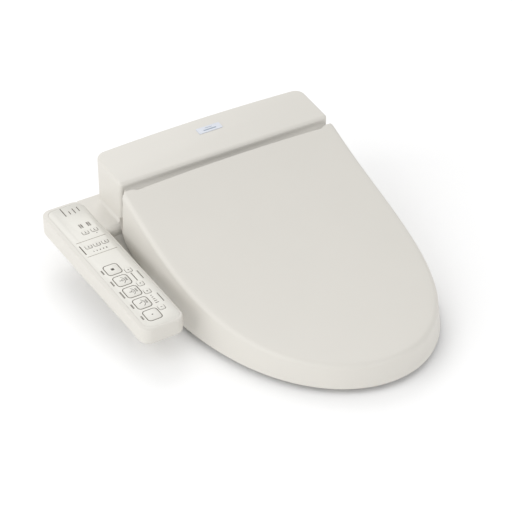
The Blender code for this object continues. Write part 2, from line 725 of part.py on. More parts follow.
def lid_shell():
    """Moulded lid: an open-backed hood, thickened inwards."""
    bm = bmesh.new()
    wall_rows = [(0.0, 0.0), (LID_DRAFT * 0.5, 0.5)]
    edge_rows = [math.radians(turn) for turn in (0, 30, 60, 90)]
    back_of_top = LID_CHEEK_REAR - LID_REAR
    outer = lid_plan(0)
    rows = []
    for inward, share in wall_rows:
        row = []
        for (x, y), (ox, oy) in zip(lid_plan(inward), outer):
            low = rim_height(oy)
            row.append(bm.verts.new((x, y, low + (lid_top(x, y) - LID_EDGE - low) * share)))
        rows.append(row)
    for turn in edge_rows:
        inward = LID_DRAFT + LID_EDGE * (1 - math.cos(turn))
        down = LID_EDGE * (1 - math.sin(turn))
        back = back_of_top * (0.2 + 0.8 * turn / (math.pi / 2))
        rows.append([bm.verts.new((x, y, lid_top(x, y) - down)) for x, y in lid_plan(inward, back)])
    edge = lid_plan(LID_DRAFT + LID_EDGE, back_of_top)
    for share in (0.75, 0.5, 0.25, 0):
        row = []
        for x, y in edge:
            across = x * share
            along = y if y >= LID_ROUND else LID_ROUND + (y - LID_ROUND) * share
            row.append(bm.verts.new((across, along, lid_top(across, along))))
        rows.append(row)
    for lower, upper in zip(rows, rows[1:]):
        for i in range(len(lower) - 1):
            bm.faces.new((lower[i], lower[i + 1], upper[i + 1], upper[i]))
    bmesh.ops.remove_doubles(bm, verts=bm.verts, dist=0.00005)
    lid = from_bmesh("lid", bm, bone())
    lid.data.shade_smooth()
    shell(lid, LID_WALL)
    for side in (-1, 1):
        tag = "left" if side < 0 else "right"
        start = POST_INNER + POST_WIDTH + LUG_WIDTH + 2 * LUG_GAP
        hinge_lug(lid, f"lid_lug_{tag}", side, start, lid_lug_profile())
    pivot(lid, (0, HINGE_Y, HINGE_Z))
    return lid


def barrel_outline(steps=16, start=0.0, end=2 * math.pi):
    points = []
    for i in range(steps + 1):
        turn = start + (end - start) * i / steps
        points.append((HINGE_Y + BARREL_RADIUS * math.cos(turn), HINGE_Z + BARREL_RADIUS * math.sin(turn)))
    return points


def lid_lug_profile():
    """Half barrel below the axis, and a block up into the lid's wall."""
    roof = lid_top(POST_INNER, HINGE_Y - BARREL_RADIUS) - LID_WALL
    return barrel_outline(12, math.pi, 2 * math.pi) + [(HINGE_Y + BARREL_RADIUS, roof + 3 * MM),
                                                       (HINGE_Y - BARREL_RADIUS, roof + 0.5 * MM)]


def seat_lug_profile():
    """Barrel round the axis with an arm down to the seat's rear edge."""
    low = seat_base(SEAT_REAR) + SEAT_WALL
    return barrel_outline(10, math.radians(-20), math.radians(180)) + [
        (SEAT_REAR - 6 * MM, seat_top(SEAT_REAR) - SEAT_WALL - 4 * MM), (SEAT_REAR - 14 * MM, low),
        (SEAT_REAR + 4 * MM, low), (HINGE_Y + 4 * MM, HINGE_Z - BARREL_RADIUS)]


def hinge_lug(item, name, side, start, profile):
    x0 = side * start
    x1 = side * (start + LUG_WIDTH)
    low, high = min(x0, x1), max(x0, x1)
    join(item, extrusion(name, profile, low, high, "X"))
    boolean(item, rod(f"{name}_bore", ((low + high) / 2, HINGE_Y, HINGE_Z), PIN_RADIUS + BORE_CLEARANCE,
                      LUG_WIDTH + 0.8 * MM, "X"))


# ---------------------------------------------------------------- seat

def band_solid(name, outer, inner, low, high, finish=None):
    """A flat ring between two outlines, with its lower and upper height given by y."""
    rings = [[Vector((x, y, low(y))) for x, y in outer], [Vector((x, y, high(y))) for x, y in outer],
             [Vector((x, y, high(y))) for x, y in inner], [Vector((x, y, low(y))) for x, y in inner]]
    return loft(name, rings + [rings[0]], finish, caps=False)


def merge_seam(item):
    """Close a loft whose last ring lies on its first."""
    bm = bmesh.new()
    bm.from_mesh(item.data)
    bmesh.ops.remove_doubles(bm, verts=bm.verts, dist=0.00001)
    bmesh.ops.recalc_face_normals(bm, faces=bm.faces)
    bm.to_mesh(item.data)
    bm.free()


def seat_top_shell():
    """Upper half of the seat: outer wall, rounded top and the wall of the opening."""
    def at(outline, height):
        return [Vector((x, y, height(y))) for x, y in outline]
    rings = [at(seat_outline(0), seat_base)]
    for turn in (0, 45, 90):
        inward = SEAT_EDGE * (1 - math.cos(math.radians(turn)))
        down = SEAT_EDGE * (1 - math.sin(math.radians(turn)))
        rings.append(at(seat_outline(inward), lambda y, down=down: seat_top(y) - down))
    for turn in (90, 45, 0):
        inward = SEAT_EDGE * (1 - math.cos(math.radians(turn)))
        down = SEAT_EDGE * (1 - math.sin(math.radians(turn)))
        rings.append(at(opening_outline(inward), lambda y, down=down: seat_top(y) - 2 * MM - down))
    rings.append(at(opening_outline(0), seat_base))
    top = loft("seat_top", rings, bone(), caps=False)
    top.data.shade_smooth()
    shell(top, SEAT_WALL)
    for side in (-1, 1):
        tag = "left" if side < 0 else "right"
        hinge_lug(top, f"seat_lug_{tag}", side, POST_INNER + POST_WIDTH + LUG_GAP, seat_lug_profile())
    pivot(top, (0, HINGE_Y, HINGE_Z))


def seat_base_plate():
    fit = SEAT_WALL + SEAT_BASE_FIT
    plate = band_solid("seat_base", seat_outline(fit), opening_outline(fit), seat_base,
                       lambda y: seat_base(y) + SEAT_WALL, inner_plastic())
    merge_seam(plate)
    pivot(plate, (0, HINGE_Y, HINGE_Z))


def seat_heater():
    """Heating foil under the seat's top face."""
    fit = SEAT_EDGE + SEAT_WALL + 4 * MM
    foil = band_solid("seat_heater", seat_outline(fit), opening_outline(fit),
                      lambda y: seat_top(y) - SEAT_WALL - 3.5 * MM,
                      lambda y: seat_top(y) - SEAT_WALL - 2.8 * MM, material("heating_foil", STEEL, 0.4, 1.0))
    merge_seam(foil)
    pivot(foil, (0, HINGE_Y, HINGE_Z))


def seat_bumpers():
    long, wide = BUMPER_LENGTH / 2, BUMPER_WIDTH / 2
    for side, tag in ((-1, "left"), (1, "right")):
        for place, x, y, half_x, half_y in (("front", side * FRONT_BUMPER_X, FRONT_BUMPER_Y, long, wide),
                                            ("rear", side * REAR_BUMPER_X, REAR_BUMPER_Y, wide, long)):
            pad = box(f"seat_bumper_{place}_{tag}", (x - half_x, y - half_y, 0),
                      (x + half_x, y + half_y, SEAT_BASE - GAP), rubber(), 1.5 * MM)
            pivot(pad, (0, HINGE_Y, HINGE_Z))


def lid_bumpers():
    """Pads between the seat's top and the lid, each no taller than the room at its lower edge."""
    low = seat_top(LID_BUMPER_Y + LID_BUMPER_RADIUS) + GAP
    high = lid_top(LID_BUMPER_X, LID_BUMPER_Y - LID_BUMPER_RADIUS) - LID_WALL - 2 * GAP
    for tag, side in (("left", -1), ("right", 1)):
        pad = rod(f"lid_bumper_{tag}", (side * LID_BUMPER_X, LID_BUMPER_Y, (low + high) / 2),
                  LID_BUMPER_RADIUS, high - low, "Z", rubber(), 16)
        pivot(pad, (0, HINGE_Y, HINGE_Z))


def hinge_pins_and_dampers():
    reach = POST_INNER + POST_WIDTH + 2 * LUG_WIDTH + 2 * LUG_GAP
    start = POST_INNER - GAP - DAMPER_LENGTH
    for side, tag, damper in ((-1, "left", "seat_damper"), (1, "right", "lid_damper")):
        middle = side * (start + 4 * MM + reach) / 2
        rod(f"hinge_pin_{tag}", (middle, HINGE_Y, HINGE_Z), PIN_RADIUS, reach - start - 4 * MM,
            "X", steel(), 16)
        body = rod(damper, (side * (start + DAMPER_LENGTH / 2), HINGE_Y, HINGE_Z), BARREL_RADIUS - 0.5 * MM,
                   DAMPER_LENGTH, "X", black_plastic())
        boolean(body, rod(f"{damper}_bore", (side * (start + DAMPER_LENGTH), HINGE_Y, HINGE_Z),
                          PIN_RADIUS + BORE_CLEARANCE, 2 * DAMPER_LENGTH - 6 * MM, "X"))


# ---------------------------------------------------------------- spray wand

def on_wand(back, up=0.0, x=0.0):
    """A point given by its distance back from the mouth and its height over the wand's axis."""
    return Vector((x, *WAND_MOUTH)) + WAND_BACK * back + WAND_UP * up


def wand_rod(name, front, rear, radius, finish=None, radius_end=None, sides=20):
    bm = bmesh.new()
    end = radius if radius_end is None else radius_end
    bmesh.ops.create_cone(bm, cap_ends=True, segments=sides, radius1=end, radius2=radius, depth=rear - front)
    matrix = Matrix.Translation(on_wand((front + rear) / 2)) @ WAND_FRAME
    bmesh.ops.transform(bm, matrix=matrix, verts=bm.verts)
    item = from_bmesh(name, bm, finish)
    item.data.shade_smooth()
    item.data.set_sharp_from_angle(angle=math.radians(40))
    return item


def wand_box(name, front, rear, low, high, half, finish=None):
    bm = bmesh.new()
    bmesh.ops.create_cube(bm, size=1)
    bmesh.ops.scale(bm, vec=(2 * half, high - low, rear - front), verts=bm.verts)
    matrix = Matrix.Translation(on_wand((front + rear) / 2, (low + high) / 2)) @ WAND_FRAME
    bmesh.ops.transform(bm, matrix=matrix, verts=bm.verts)
    return from_bmesh(name, bm, finish)


def spray_wand():
    start = 3 * MM
    neck = start + WAND_TIP + GAP
    tip = wand_rod("wand_tip", start, start + WAND_TIP, WAND_RADIUS, material("wand_tip", "F2F1EC", 0.3),
                   WAND_RADIUS - 1.2 * MM)
    wand = wand_rod("spray_wand", neck, start + WAND_LENGTH, WAND_RADIUS, steel())
    join(wand, wand_box("wand_rack", neck + 2 * MM, start + WAND_LENGTH - 2 * MM,
                        -WAND_RADIUS - RACK_HEIGHT, -WAND_RADIUS + 1.5 * MM, RACK_WIDTH / 2))
    for item in (tip, wand):
        pivot(item, on_wand(0))


def wand_guide():
    inner = WAND_RADIUS + GUIDE_CLEARANCE
    front, rear = 10 * MM, WAND_LENGTH + 8 * MM
    guide = wand_rod("wand_guide", front, rear, inner + GUIDE_WALL, inner_plastic(), sides=24)
    boolean(guide, wand_rod("guide_bore", front - 5 * MM, rear + 5 * MM, inner, sides=24))
    boolean(guide, wand_box("guide_slot", front - 5 * MM, rear + 5 * MM, -inner - 8 * MM, 0,
                            RACK_WIDTH / 2 + 2 * GAP))


def pinion_centre():
    return on_wand(PINION_AT, -WAND_RADIUS - RACK_HEIGHT - GAP - PINION_RADIUS)


def wand_drive():
    centre = pinion_centre()
    outline = []
    for i in range(PINION_TEETH * 4):
        turn = 2 * math.pi * i / (PINION_TEETH * 4)
        radius = PINION_RADIUS if i % 4 < 2 else PINION_RADIUS - 1.2 * MM
        outline.append((centre.y + radius * math.cos(turn), centre.z + radius * math.sin(turn)))
    pinion = extrusion("wand_pinion", outline, -RACK_WIDTH / 2, RACK_WIDTH / 2, "X",
                       material("acetal", "EFEFEA", 0.4))
    join(pinion, rod("pinion_hub", (5 * MM, centre.y, centre.z), 2.5 * MM, 11 * MM, "X", sides=16))
    pivot(pinion, centre)
    rod("wand_motor", (24 * MM, centre.y, centre.z), MOTOR_RADIUS, 24 * MM, "X", steel(), 24)


# ---------------------------------------------------------------- water, air and boards

def water_tank():
    low, high = Vector(TANK_LOW), Vector(TANK_HIGH)
    wall = Vector((TANK_WALL, TANK_WALL, TANK_WALL))
    tank = box("water_tank", low, high, inner_plastic())
    boolean(tank, box("tank_hollow", low + wall, (high.x - TANK_WALL, high.y - TANK_WALL, high.z + 5 * MM)))
    box("tank_cap", (low.x, low.y, high.z + GAP), (high.x, high.y, high.z + GAP + TANK_WALL), inner_plastic(),
        0.8 * MM)
    middle = (low + high) / 2
    rod("tank_thermostat", (middle.x + 30 * MM, middle.y, high.z + TANK_WALL + 2 * GAP + 5 * MM), 8 * MM,
        10 * MM, "Z", steel())
    tank_heater(middle, high.z)


def tank_heater(middle, roof):
    """U-shaped immersion element."""
    curve = bpy.data.curves.new("tank_heater", "CURVE")
    curve.dimensions = "3D"
    curve.bevel_depth = HEATER_RADIUS
    curve.bevel_resolution = 2
    curve.use_fill_caps = True
    bend = 14 * MM
    points = [(-bend, roof - GAP - 1 * MM), (-bend, 40 * MM)]
    points += [(-bend * math.cos(math.pi * i / 8), 40 * MM - bend * math.sin(math.pi * i / 8))
               for i in range(1, 8)]
    points += [(bend, 40 * MM), (bend, roof - GAP - 1 * MM)]
    line = curve.splines.new("POLY")
    line.points.add(len(points) - 1)
    for spot, (x, z) in zip(line.points, points):
        spot.co = (middle.x - 10 * MM + x, middle.y, z, 1)
    element = bpy.data.objects.new("tank_heater", curve)
    curve.materials.append(material("copper", COPPER, 0.3, 1.0))
    parts.objects.link(element)


def water_inlet():
    """Valve, hose port and the strainer plug beside it."""
    face = HOUSING_HALF - WALL - GAP
    x0 = face - 4 * MM - VALVE_SIZE[0]
    valve = box("inlet_valve", (x0, INLET_Y - VALVE_SIZE[1] / 2, INLET_Z - VALVE_SIZE[2] / 2),
                (x0 + VALVE_SIZE[0], INLET_Y + VALVE_SIZE[1] / 2, INLET_Z + VALVE_SIZE[2] / 2), inner_plastic())
    coil_height = INLET_Z + VALVE_SIZE[2] / 2 + 12 * MM
    join(valve, rod("valve_coil", (x0 + VALVE_SIZE[0] / 2, INLET_Y, coil_height), COIL_RADIUS, 26 * MM, "Z"))
    start = x0 + VALVE_SIZE[0] + GAP
    port = rod("inlet_port", (start + INLET_LENGTH / 2, INLET_Y, INLET_Z), INLET_RADIUS, INLET_LENGTH, "X",
               steel(), 24)
    boolean(port, rod("port_bore", (start + INLET_LENGTH, INLET_Y, INLET_Z), INLET_RADIUS - 2.5 * MM,
                      2 * INLET_LENGTH - 8 * MM, "X", sides=24))
    plug = rod("strainer_plug", (face - 2 * MM, PLUG_Y, INLET_Z), PLUG_RADIUS, 14 * MM, "X", bone(), 24)
    join(plug, box("plug_grip", (face + 4 * MM, PLUG_Y - 1.5 * MM, INLET_Z - 6 * MM),
                   (face + 8 * MM, PLUG_Y + 1.5 * MM, INLET_Z + 6 * MM)))
    pivot(plug, (face, PLUG_Y, INLET_Z))


def air_dryer():
    top = BLOWER_Z + BLOWER_HEIGHT
    middle = BLOWER_Z + BLOWER_HEIGHT / 2
    scroll = rod("blower_housing", (BLOWER_X, BLOWER_Y, middle), BLOWER_RADIUS, BLOWER_HEIGHT, "Z",
                 black_plastic(), 32)
    boolean(scroll, rod("scroll_hollow", (BLOWER_X, BLOWER_Y, middle + BLOWER_WALL),
                        BLOWER_RADIUS - BLOWER_WALL, BLOWER_HEIGHT, "Z", sides=32))
    side = BLOWER_Y - BLOWER_RADIUS
    boolean(scroll, box("scroll_outlet", (BLOWER_X - 15 * MM, side - 5 * MM, DUCT_Z[0] + 2 * MM),
                        (BLOWER_X + 15 * MM, side + 8 * MM, DUCT_Z[1] - 2 * MM)))
    rod("blower_cover", (BLOWER_X, BLOWER_Y, top + GAP + 1 * MM), BLOWER_RADIUS, 2 * MM,
        "Z", black_plastic(), 32)
    rod("blower_motor", (BLOWER_X, BLOWER_Y, top + 2 * GAP + 11 * MM), 14 * MM, 18 * MM, "Z", steel(), 24)
    outline = []
    blades = 16
    for i in range(blades * 2):
        turn = 2 * math.pi * i / (blades * 2)
        radius = WHEEL_RADIUS if i % 2 == 0 else WHEEL_RADIUS * 0.72
        outline.append((BLOWER_X + radius * math.cos(turn), BLOWER_Y + radius * math.sin(turn)))
    wheel = extrusion("blower_wheel", outline, BLOWER_Z + 4 * MM, top - 3 * MM, "Z", inner_plastic())
    pivot(wheel, (BLOWER_X, BLOWER_Y, middle))
    duct_front = PAN_FRONT + WALL + GAP
    duct_rear = BLOWER_Y - BLOWER_RADIUS - 2 * GAP
    duct = box("dryer_duct", (BLOWER_X - DUCT_HALF, duct_front, DUCT_Z[0]),
               (BLOWER_X + DUCT_HALF, duct_rear, DUCT_Z[1]), black_plastic())
    boolean(duct, box("duct_hollow",
                      (BLOWER_X - DUCT_HALF + 1.5 * MM, duct_front - 5 * MM, DUCT_Z[0] + 1.5 * MM),
                      (BLOWER_X + DUCT_HALF - 1.5 * MM, duct_rear + 5 * MM, DUCT_Z[1] - 1.5 * MM)))
    flap = box("dryer_flap", (BLOWER_X - DUCT_HALF + 2 * GAP, PAN_FRONT + FLAP_SET_IN, DUCT_Z[0] + 2 * GAP),
               (BLOWER_X + DUCT_HALF - 2 * GAP, PAN_FRONT + FLAP_SET_IN + FLAP_THICK, DUCT_Z[1] - 2 * GAP),
               bone())
    pivot(flap, flap_axis())


def flap_axis():
    return (BLOWER_X, PAN_FRONT + FLAP_SET_IN + FLAP_THICK / 2, DUCT_Z[1] - 2 * GAP - FLAP_THICK / 2)


def deodorizer():
    """Carbon block in the pan with a fan frame behind it."""
    box("deodorizer_filter", (FILTER_X[0], FILTER_Y[0], FILTER_Z[0]), (FILTER_X[1], FILTER_Y[1], FILTER_Z[1]),
        material("carbon_filter", BLACK, 0.9), 1.5 * MM)
    frame = box("deodorizer_fan", (FILTER_X[0], FAN_Y[0], FAN_Z[0]), (FILTER_X[1], FAN_Y[1], FAN_Z[1]),
                black_plastic())
    middle = ((FILTER_X[0] + FILTER_X[1]) / 2, (FAN_Y[0] + FAN_Y[1]) / 2, (FAN_Z[0] + FAN_Z[1]) / 2)
    boolean(frame, rod("fan_hole", middle, FAN_HOLE_RADIUS, 20 * MM, "Y", sides=24))
    join(frame, box("fan_strut", (FILTER_X[0] + 0.5 * MM, FAN_Y[1] - STRUT_HALF, middle[2] - STRUT_HALF),
                    (FILTER_X[1] - 0.5 * MM, FAN_Y[1] - 0.5 * MM, middle[2] + STRUT_HALF)))


def boards():
    box("main_board", (MAIN_BOARD_X[0], MAIN_BOARD_Y, MAIN_BOARD_Z[0]),
        (MAIN_BOARD_X[1], MAIN_BOARD_Y + BOARD_THICK, MAIN_BOARD_Z[1]), circuit_board())
    box("power_transformer", (TRANSFORMER_X[0], MAIN_BOARD_Y - TRANSFORMER_DEPTH, TRANSFORMER_Z[0]),
        (TRANSFORMER_X[1], MAIN_BOARD_Y - GAP, TRANSFORMER_Z[1]),
         material("transformer", "D8B23A", 0.5), 1 * MM)
    outline = rounded_outline(FILM_OUTER + 7 * MM, FILM_INNER - 7 * MM, FILM_FRONT + 10 * MM,
                              FILM_REAR - 10 * MM, 4 * MM, 2)
    board_depth = FILM_THICK + KEY_HEIGHT + 3 * MM
    loft("panel_board", [on_arm(outline, board_depth + BOARD_THICK), on_arm(outline, board_depth)],
         circuit_board())


def cord_gland():
    gland = rod("cord_gland", (GLAND_X, HOUSING_REAR - HOUSING_BOW - 2 * MM, GLAND_Z), GLAND_RADIUS, 12 * MM, "Y",
                black_plastic())
    boolean(gland, rod("gland_bore", (GLAND_X, HOUSING_REAR, GLAND_Z), 3.6 * MM, 40 * MM, "Y"))


def release_button():
    cap = box("release_button", (HOUSING_HALF - WALL - 3 * MM, BUTTON_Y - BUTTON_HALF, BUTTON_Z[0]),
              (HOUSING_HALF + BUTTON_PROUD, BUTTON_Y + BUTTON_HALF, BUTTON_Z[1]), black_plastic(), 0.8 * MM)
    pivot(cap, (HOUSING_HALF, BUTTON_Y, sum(BUTTON_Z) / 2))


# ---------------------------------------------------------------- control panel

def key_places():
    """Each key's centre, width and length, in metres."""
    places = dict(SMALL_KEYS)
    for i, name in enumerate(FUNCTION_KEYS):
        places[name] = (FUNCTION_X, FUNCTION_Y - FUNCTION_PITCH * i, *FUNCTION_SIZE)
    return {name: (ARM_INNER + x * MM, y * MM, width * MM, length * MM)
            for name, (x, y, width, length) in places.items()}


def key_outline(place, grow):
    x, y, width, length = place
    radius = min(width, length) * 0.2 + grow
    return rounded_outline(x - width / 2 - grow, x + width / 2 + grow, y - length / 2 - grow,
                           y + length / 2 + grow, radius, 3)


def control_panel():
    film = arm_cut(panel_outline(0), 0, FILM_THICK, "panel_film")
    cutters.objects.unlink(film)
    parts.objects.link(film)
    film.hide_render = False
    film.display_type = "TEXTURED"
    film.data.materials.append(material("panel_film", BONE_LIGHT, 0.3))
    normal = Vector((0, -ARM_SLOPE, 1)).normalized()
    for name, place in key_places().items():
        boolean(film, arm_cut(key_outline(place, KEY_CLEARANCE), -3 * MM, 3 * MM, f"{name}_hole"))
        top = on_arm(key_outline(place, 0), -KEY_PROUD)
        neck = on_arm(key_outline(place, 0), FILM_THICK + KEY_TRAVEL)
        flange = on_arm(key_outline(place, KEY_FLANGE), FILM_THICK + KEY_TRAVEL)
        foot = on_arm(key_outline(place, KEY_FLANGE), FILM_THICK + KEY_HEIGHT)
        key = loft(name, [foot, flange, neck, top], material("key_caps", BONE_LIGHT, 0.3))
        middle = Vector((place[0], place[1], arm_top(place[1])))
        pivot(key, middle - normal * FILM_THICK)


def main():
    global parts, cutters
    clear_scene()
    parts = new_collection("electric_bidet_seat")
    cutters = new_collection("cutters")
    upper_cover()
    arm_lower_cover()
    bottom_pan()
    front_deck()
    mounting_plate()
    badge()
    lid_shell()
    lid_bumpers()
    seat_top_shell()
    seat_base_plate()
    seat_heater()
    seat_bumpers()
    hinge_pins_and_dampers()
    spray_wand()
    wand_guide()
    wand_drive()
    water_tank()
    water_inlet()
    air_dryer()
    deodorizer()
    boards()
    cord_gland()
    release_button()
    control_panel()


main()
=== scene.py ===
"""Electric bidet seat: the finely made shells, keys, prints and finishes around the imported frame.

Units are metres.  +Z is up, -Y is the front and -X is the side of the control arm.
"""
import math

import bmesh
import bpy
from mathutils import Matrix, Vector


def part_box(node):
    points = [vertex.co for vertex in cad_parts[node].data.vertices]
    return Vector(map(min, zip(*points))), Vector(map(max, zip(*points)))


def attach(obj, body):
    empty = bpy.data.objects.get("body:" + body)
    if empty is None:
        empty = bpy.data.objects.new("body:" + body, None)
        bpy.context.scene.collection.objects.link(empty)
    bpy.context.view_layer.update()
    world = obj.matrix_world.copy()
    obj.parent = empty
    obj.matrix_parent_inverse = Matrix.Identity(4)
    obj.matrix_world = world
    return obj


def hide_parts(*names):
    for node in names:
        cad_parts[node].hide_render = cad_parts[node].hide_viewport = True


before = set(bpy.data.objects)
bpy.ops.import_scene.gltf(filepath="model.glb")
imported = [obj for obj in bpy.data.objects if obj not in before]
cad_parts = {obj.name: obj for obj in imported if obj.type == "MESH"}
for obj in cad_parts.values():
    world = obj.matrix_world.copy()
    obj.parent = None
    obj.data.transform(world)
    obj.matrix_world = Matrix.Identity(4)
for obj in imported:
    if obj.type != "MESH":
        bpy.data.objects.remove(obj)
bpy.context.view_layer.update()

MM = 0.001

# Camera: where it looks, from how far, and the lens on a 36 mm sensor
CAMERA_AIM = (-0.0449, -0.1848, 0.060)
CAMERA_PLACE = (-1.2520, -2.0912, 1.6435)
CAMERA_LENS = 133.1

# Housing, control arm and the shoulder between them
COVER_LOW, COVER_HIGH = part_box("upper_cover")
HOUSE_HALF = COVER_HIGH.x
HOUSE_REAR = COVER_HIGH.y
HOUSE_FRONT = -32 * MM
HOUSE_TOP = 159.5 * MM
HOUSE_FALL = 0.145
HOUSE_BOW = 5.4 * MM
HOUSE_REAR_CORNER = 16 * MM
HOUSE_FRONT_CORNER = 6 * MM
HOUSE_EDGE = 4.5 * MM
HOUSE_FRONT_EDGE = 5.5 * MM
HOUSE_LOW = 40.3 * MM
LEDGE_HALF = HOUSE_HALF - 6.5 * MM   # step along the housing's front, below the lid's rear edge
LEDGE_TOP = 133.5 * MM
LEDGE_REACH = 51.7 * MM
LEDGE_ROUND = 6 * MM
WALL = 3 * MM

TRAY_LOW, TRAY_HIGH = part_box("arm_lower_cover")
ARM_OUTER = COVER_LOW.x
ARM_INNER = TRAY_HIGH.x
ARM_FRONT = COVER_LOW.y
ARM_REAR = TRAY_HIGH.y
ARM_TOP = 82.8 * MM
ARM_SLOPE = 0.0693
ARM_UNDER = 51.8 * MM
ARM_UNDER_SLOPE = 0.05
ARM_CORNER = 16 * MM
ARM_EDGE = 2.6 * MM
ARM_LOW_EDGE = 3.5 * MM
ARM_WALL = 2.5 * MM
SHOULDER_FRONT = -38 * MM
SHOULDER_ROUND = 9 * MM
COVE = 5 * MM                   # fillet between the shoulder and the housing's side

FILM_LOW, FILM_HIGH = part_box("panel_film")
FILM_CORNER = 13 * MM
FILM_THICK = 0.8 * MM
FILM_GAP = 0.3 * MM

# Lid
LID_LOW, LID_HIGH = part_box("lid")
LID_HALF = LID_HIGH.x
LID_FRONT = LID_LOW.y
LID_REAR = -46.5 * MM
LID_EAR_REAR = -42.6 * MM
LID_EAR_WIDTH = 24 * MM
LID_EAR_ROUND = 9 * MM
LID_ROUND = -128 * MM
LID_ROUND_POWER = 2.57
LID_TOP_FRONT = 47 * MM
LID_TOP_REAR = 142.8 * MM
LID_SWEEP = 2.1
LID_CROWN = 5 * MM
LID_WALL = 3 * MM
LID_DRAFT = 4 * MM
LID_EDGE = 8 * MM
LID_RIM = 9 * MM
CHEEK_REAR = -39 * MM
CHEEK_TOP = 96 * MM
CHEEK_LOW = 46 * MM
CHEEK_MID = -100 * MM
CHEEK_RISE = -205 * MM

# Hinge
HINGE = Vector((0, -84 * MM, 110 * MM))
BARREL_RADIUS = 7.5 * MM
SEAT_LUG_X = (156.6 * MM, 169.6 * MM)
LID_LUG_X = (170.2 * MM, 183.2 * MM)

# Seat
SEAT_INSET = 7 * MM
SEAT_REAR = -98 * MM
SEAT_TOP_FRONT = 34 * MM
SEAT_RISE = 50 * MM
SEAT_LOW = 9 * MM
SEAT_LOW_REAR = 50 * MM
SEAT_CORNER = 30 * MM
SEAT_EDGE = 9 * MM
SEAT_DISH = 3.5 * MM            # the top slopes down this much towards the opening
OPENING_HALF = 106 * MM
OPENING_REAR = -140 * MM
OPENING_FRONT = LID_FRONT + 78 * MM
OPENING_POWER = 2.3

PRINT_THICK = 0.05 * MM
STROKE = 0.95 * MM


# ---------------------------------------------------------------- finishes

def colour(code):
    """Linear colour of an sRGB hex code."""
    def channel(value):
        return value / 12.92 if value <= 0.04045 else ((value + 0.055) / 1.055) ** 2.4
    return (*(channel(int(code[i:i + 2], 16) / 255) for i in (0, 2, 4)), 1.0)


def add(tree, kind, links=(), **settings):
    """Add a node: settings name its attributes or sockets, links are (socket, output)."""
    made = tree.nodes.new(kind)
    for name, value in settings.items():
        socket = made.inputs.get(name.replace("_", " ").title()) if not hasattr(made, name) else None
        if socket is not None:
            socket.default_value = value
        else:
            setattr(made, name, value)
    for name, output in links:
        tree.links.new(output, made.inputs[name])
    return made


def per_mm(size):
    """Noise scale of a pattern whose features are this many millimetres wide."""
    return 1 / (size * MM)


def begin(name):
    """A new material with its shader and its object coordinates."""
    made = bpy.data.materials.new(name)
    made.use_nodes = True
    tree = made.node_tree
    shader = tree.nodes["Principled BSDF"]
    place = add(tree, "ShaderNodeTexCoord").outputs["Object"]
    return made, tree, shader, place


def vary_colour(tree, shader, factor, first, second):
    """Base colour between two close tones."""
    mix = add(tree, "ShaderNodeMix", [("Factor", factor)], data_type="RGBA")
    mix.inputs[6].default_value = colour(first)
    mix.inputs[7].default_value = colour(second)
    tree.links.new(mix.outputs[2], shader.inputs["Base Color"])


def vary_roughness(tree, shader, factor, low, high):
    spread = add(tree, "ShaderNodeMapRange", [("Value", factor)])
    spread.inputs["To Min"].default_value = low
    spread.inputs["To Max"].default_value = high
    tree.links.new(spread.outputs["Result"], shader.inputs["Roughness"])


def relief(tree, shader, height, depth, strength=1.0):
    """Bump of a given depth in millimetres."""
    bump = add(tree, "ShaderNodeBump", [("Height", height)])
    bump.inputs["Strength"].default_value = strength
    bump.inputs["Distance"].default_value = depth * MM
    tree.links.new(bump.outputs["Normal"], shader.inputs["Normal"])


def moulded(name, first, second, roughness, grain=0.9, depth=0.012, gloss=0.0, ior=1.53):
    """Injection-moulded thermoplastic: an even body colour with a slow drift in tone
    from the melt's flow, and the fine spark-eroded texture of the tool."""
    made, tree, shader, place = begin(name)
    shader.inputs["IOR"].default_value = ior
    shader.inputs["Coat Weight"].default_value = gloss
    shader.inputs["Coat Roughness"].default_value = 0.12
    drift = add(tree, "ShaderNodeTexNoise", [("Vector", place)], scale=per_mm(90), detail=2.0)
    vary_colour(tree, shader, drift.outputs["Fac"], first, second)
    fine = add(tree, "ShaderNodeTexNoise", [("Vector", place)], scale=per_mm(grain), detail=3.0)
    vary_roughness(tree, shader, fine.outputs["Fac"], roughness - 0.05, roughness + 0.05)
    relief(tree, shader, fine.outputs["Fac"], depth, 0.5)
    return made


def rubber(name, first, second):
    """Thermoplastic rubber: matt, with a slight bloom and a soft skin."""
    made = moulded(name, first, second, 0.72, 0.6, 0.02, ior=1.5)
    made.node_tree.nodes["Principled BSDF"].inputs["Sheen Weight"].default_value = 0.15
    return made


def brushed(name, first, second, axis, roughness, line=0.25):
    """Drawn or brushed metal: fine lines run along its length, stretched noise across it."""
    made, tree, shader, place = begin(name)
    shader.inputs["Metallic"].default_value = 1.0
    stretch = add(tree, "ShaderNodeMapping", [("Vector", place)])
    stretch.inputs["Scale"].default_value = [0.02 if i == axis else 1.0 for i in range(3)]
    lines = add(tree, "ShaderNodeTexNoise", [("Vector", stretch.outputs["Vector"])], scale=per_mm(line), detail=2.0)
    vary_colour(tree, shader, lines.outputs["Fac"], first, second)
    vary_roughness(tree, shader, lines.outputs["Fac"], roughness - 0.06, roughness + 0.08)
    relief(tree, shader, lines.outputs["Fac"], 0.006, 0.4)
    return made


def printed_ink(name, first, second):
    """Screen-printed ink: flat and matt, its edge a little broken by the film's grain."""
    made, tree, shader, place = begin(name)
    speckle = add(tree, "ShaderNodeTexNoise", [("Vector", place)], scale=per_mm(0.4), detail=2.0)
    vary_colour(tree, shader, speckle.outputs["Fac"], first, second)
    vary_roughness(tree, shader, speckle.outputs["Fac"], 0.5, 0.62)
    return made


